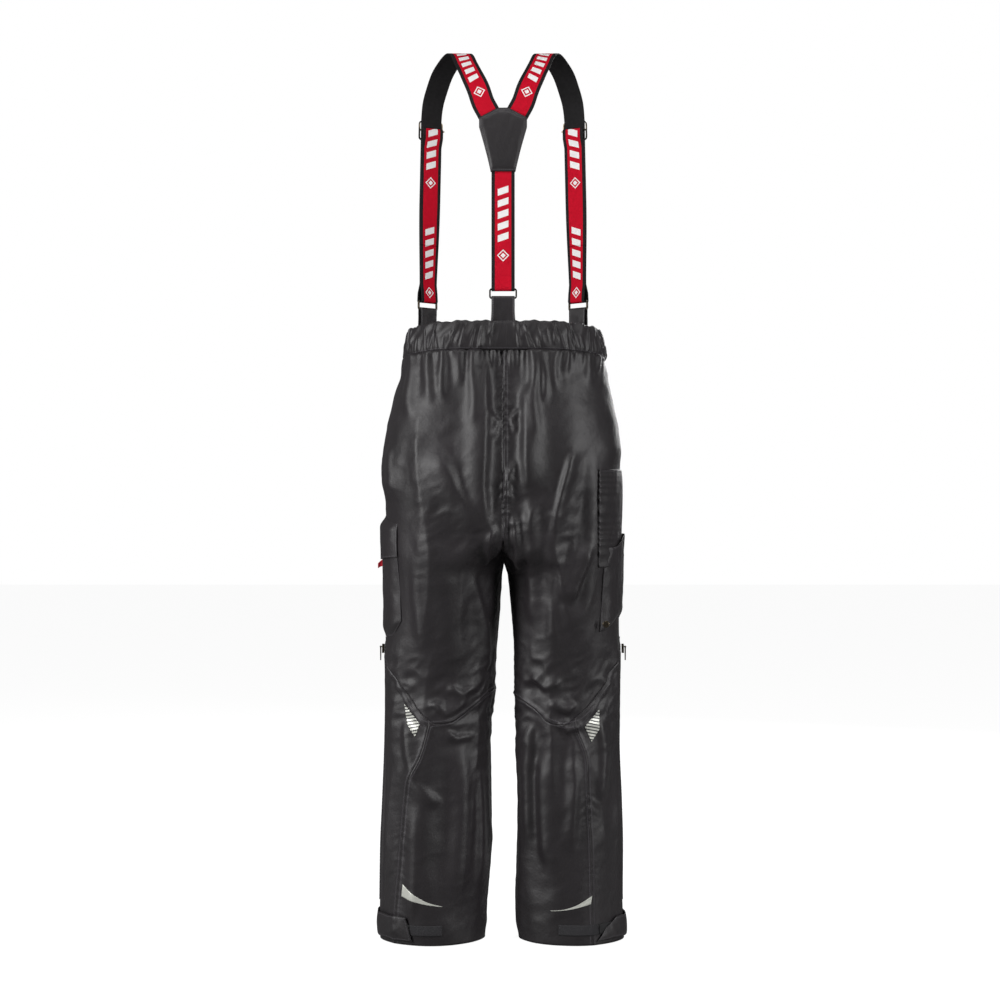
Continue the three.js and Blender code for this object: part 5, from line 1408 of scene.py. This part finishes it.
def make_hems():
    """Each hem's loop tape and its tab, which turns about its root, with the hook patch under its loose end."""
    for word, side in SIDES:
        left = flip = side == LEFT
        end = -60 if left else -55

        def strip(low_angle, high_angle, low, high, rows, columns, out):
            def where(s, t):
                return low_angle + (high_angle - low_angle) * s, low + (high - low) * t
            return side_patch(side, where, rows, columns, out, cloth_tree)

        tape = {"wall": 0.0009, "flip": flip, "slot": "hook_and_loop"}
        points = strip(-94 if left else -101, -20, TAPE_LOW, TAPE_HIGH, 12, 90, lambda s, t: 0.0013)
        sheet_piece(f"loop_strip_{word}_tape", points, f"loop_strip_{word}", materials=(LOOP_TAPE,),
                    on=(f"lower_back_panel_{word}_cloth",), **tape)
        points = strip(end + 3, end + 26, TAPE_LOW, TAPE_HIGH, 8, 24, lambda s, t: 0.0030)
        sheet_piece(f"hook_patch_{word}_tape", points, f"hook_patch_{word}", materials=(HOOK_TAPE,),
                    on=(f"hem_tab_{word}_cloth",), body=f"hem_tab_{word}", **tape)

        def tab_where(s, t):
            # The loose end slants: longer at its bottom.
            start = end + (6 * t if left else 11 * t)
            low, high = 0.007, 0.049
            if not left:
                high = 0.026 + 0.018 * min(1, s / 0.25)
            return start + (35 - start) * s, low + (high - low) * t

        def tab_out(s, t):
            return 0.0046 + 0.0016 * (1 - (2 * t - 1) ** 2) * (1 - math.exp(-s / 0.06))

        points = side_patch(side, tab_where, 22, 90, tab_out, cloth_tree)
        points = crumpled(points, outward_of(points, side), 0.0007, 0.03, 51 + side)
        sheet_piece(f"hem_tab_{word}_cloth", points, f"hem_tab_{word}", "lbt", wall=0.0012, flip=flip,
                    on=(f"loop_strip_{word}_tape",), body=f"hem_tab_{word}")


# ------------------------------------------------------------------ reflectors
def on_back(x, height, out):
    """A point over the cloth as met from behind."""
    hit, normal, _, _ = cloth_tree.ray_cast(Vector((x, -0.6, height + HEM_Z)), Vector((0, 1, 0)), 1.2)
    if normal.y > 0:
        normal = -normal
    return np.array(hit + normal * out)


KITES = {
    LEFT: ((-0.172, 0.420), (-0.144, 0.387), (-0.153, 0.364), (-0.167, 0.385)),
    RIGHT: ((0.168, 0.412), (0.142, 0.381), (0.154, 0.355), (0.168, 0.376)),
}
SWOOSHES = {
    LEFT: ((-0.175, 0.1055), (-0.177, 0.085), (-0.106, 0.069)),
    RIGHT: ((0.155, 0.086), (0.153, 0.0725), (0.083, 0.060)),
}


FILM_OUT = 0.0009


def make_reflectors():
    """A kite at each knee and a swoosh over each hem, laid on the folds."""
    for word, side in SIDES:
        flip = side == RIGHT
        top, inner, bottom, outer = KITES[side]

        def kite_place(s, t):
            height = bottom[1] + (top[1] - bottom[1]) * (0.004 + 0.992 * t)
            near, far = (np.interp(height, [bottom[1], tip[1], top[1]], [bottom[0], tip[0], top[0]])
                         for tip in (inner, outer))
            return on_back(near + (far - near) * s, height, FILM_OUT)

        sheet_piece(f"knee_reflector_{word}_film", grid_of(40, 16, kite_place), f"knee_reflector_{word}",
                    wall=0.0005, flip=not flip, materials=(STRIPED_REFLECTIVE,), slot="reflective",
                    on=(f"lower_side_panel_{word}_cloth",))
        high, low, end = (np.array(p) for p in SWOOSHES[side])

        def swoosh_place(s, t):
            start = low + (high - low) * t
            sag = 0.0065 * math.sin(math.pi * s) * (0.35 + 0.65 * t)
            x, height = start + (end - start) * s
            return on_back(x, height - sag + 0.0008 * (t - 0.5), FILM_OUT)

        sheet_piece(f"hem_reflector_{word}_film", grid_of(10, 60, swoosh_place), f"hem_reflector_{word}",
                    wall=0.0005, flip=flip, materials=(REFLECTIVE,), slot="reflective",
                    on=(f"lower_back_panel_{word}_cloth",))


# ------------------------------------------------------------------ metal pieces, rounded from the frame's own
def rounded(node, width, material, body):
    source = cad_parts[node]
    obj = bpy.data.objects.new(f"{node}_rounded", source.data.copy())
    bpy.context.collection.objects.link(obj)
    work = bmesh.new()
    work.from_mesh(obj.data)
    bmesh.ops.remove_doubles(work, verts=work.verts, dist=1e-5)
    bmesh.ops.dissolve_limit(work, angle_limit=math.radians(2), verts=work.verts, edges=work.edges)
    work.to_mesh(obj.data)
    work.free()
    modifier = obj.modifiers.new("round", "BEVEL")
    modifier.width, modifier.segments, modifier.limit_method = width, 3, "ANGLE"
    modifier.angle_limit = math.radians(30)
    finish_modifiers(obj)
    obj.data.shade_smooth()
    paint(obj, material)
    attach(obj, body)
    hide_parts(node)
    return obj


def make_metal():
    rounded("back_ring", 0.0010, GUNMETAL, "back_ring")
    for word, _ in SIDES:
        rounded(f"front_ring_{word}", 0.0010, GUNMETAL, f"front_ring_{word}")
        rounded(f"adjuster_{word}", 0.0008, GUNMETAL, f"adjuster_{word}")
        rounded(f"zip_slider_{word}", 0.0003, GUNMETAL, f"zip_slider_{word}")
        rounded(f"zip_puller_{word}", 0.0004, GUNMETAL, f"zip_puller_{word}")
    rounded("tool_button", 0.0012, GUNMETAL, "trousers")


def make_seam_tape():
    rows = []
    for height in np.linspace(0.735, BAND_BOTTOM - 0.008, 60):
        row = []
        for x in np.linspace(-0.011, 0.011, 7):
            hit, _, _, _ = cloth_tree.ray_cast(Vector((x, 0, height + HEM_Z)), Vector((0, -1, 0)), 0.5)
            row.append((x, hit.y + 0.0022, hit.z))
        rows.append(row)
    points = np.array(rows)
    for _ in range(3):
        points[1:-1, :, 1] = (points[:-2, :, 1] + points[1:-1, :, 1] + points[2:, :, 1]) / 3
    sheet_piece("centre_seam_tape_film", points, "centre_seam_tape", wall=0.0003, materials=(SEAM_TAPE,),
                on=("back_panel_left_cloth", "back_panel_right_cloth"))


make_elastic()
make_waistband()
make_tab("back_tab_cloth", "back_tab", (0, BACK_RING_Y), math.pi, 0.0112)
for word, side in SIDES:
    ring_place = (side * FRONT_RING[0], FRONT_RING[1])
    make_tab(f"front_tab_{word}_cloth", f"front_tab_{word}", ring_place, -side * TURN, -0.0080)
make_yoke()
fit_braces()
make_bellows_pocket()
make_rule_pocket()
make_zips()
make_hems()
make_reflectors()
make_metal()
make_seam_tape()


# ------------------------------------------------------------------ floor, light and camera
def studio():
    bpy.ops.mesh.primitive_plane_add(size=30, location=(0, 0, HEM_Z - 0.002))
    floor = bpy.context.active_object
    floor.name = "floor"
    material, tree, surface = new_material("studio_floor")
    surface.inputs["Base Color"].default_value = colour("8c8c8c")
    surface.inputs["Roughness"].default_value = 0.9
    surface.inputs["Emission Color"].default_value = colour("ffffff")
    ray = add(tree, "ShaderNodeLightPath")
    shown = add(tree, "ShaderNodeMath", {0: ray.outputs["Is Camera Ray"]}, {1: 0.92}, operation="MULTIPLY")
    tree.links.new(shown.outputs[0], surface.inputs["Emission Strength"])
    place = add(tree, "ShaderNodeTexCoord")
    grain = add(tree, "ShaderNodeTexNoise", {"Vector": place.outputs["Object"]}, {"Scale": 220.0})
    bump = add(tree, "ShaderNodeBump", {"Height": grain.outputs["Fac"]}, {"Strength": 0.02})
    tree.links.new(bump.outputs["Normal"], surface.inputs["Normal"])
    paint(floor, material)
    bpy.context.scene.view_settings.view_transform = "Standard"
    world = bpy.data.worlds.new("studio")
    bpy.context.scene.world = world
    world.use_nodes = True
    tree = world.node_tree
    seen = tree.nodes["Background"]
    seen.inputs["Strength"].default_value = 1.0
    seen.inputs["Color"].default_value = (1, 1, 1, 1)
    around = add(tree, "ShaderNodeBackground", None, {"Color": (1, 1, 1, 1), "Strength": 0.12})
    ray = add(tree, "ShaderNodeLightPath")
    shaders = {0: ray.outputs["Is Camera Ray"], 1: around.outputs[0], 2: seen.outputs[0]}
    both = add(tree, "ShaderNodeMixShader", shaders)
    tree.links.new(both.outputs[0], tree.nodes["World Output"].inputs["Surface"])
    lamps = (
        ("key", (-2.6, -1.5, 0.40), 92, (0.8, 2.0)),
        ("fill", (2.6, -1.7, 0.30), 62, (0.7, 2.0)),
        ("top", (0.0, -1.5, 1.9), 16, (1.2, 0.6)),
        ("behind", (1.2, 2.6, 0.9), 40, (0.8, 2.0)),
    )
    for name, place, power, size in lamps:
        bpy.ops.object.light_add(type="AREA", location=place)
        lamp = bpy.context.active_object
        lamp.name = name
        lamp.data.shape = "RECTANGLE"
        lamp.data.energy, (lamp.data.size, lamp.data.size_y) = power, size
        lamp.rotation_mode = "QUATERNION"
        lamp.rotation_quaternion = (Vector((0, 0, -0.2)) - Vector(place)).to_track_quat("-Z", "Y")
    bpy.ops.object.camera_add(location=(-0.0053, -3.6, HEM_Z + 0.776), rotation=(math.radians(90), 0, 0))
    camera = bpy.context.active_object
    camera.data.lens, camera.data.sensor_width = 72.8, 36
    bpy.context.scene.camera = camera


studio()
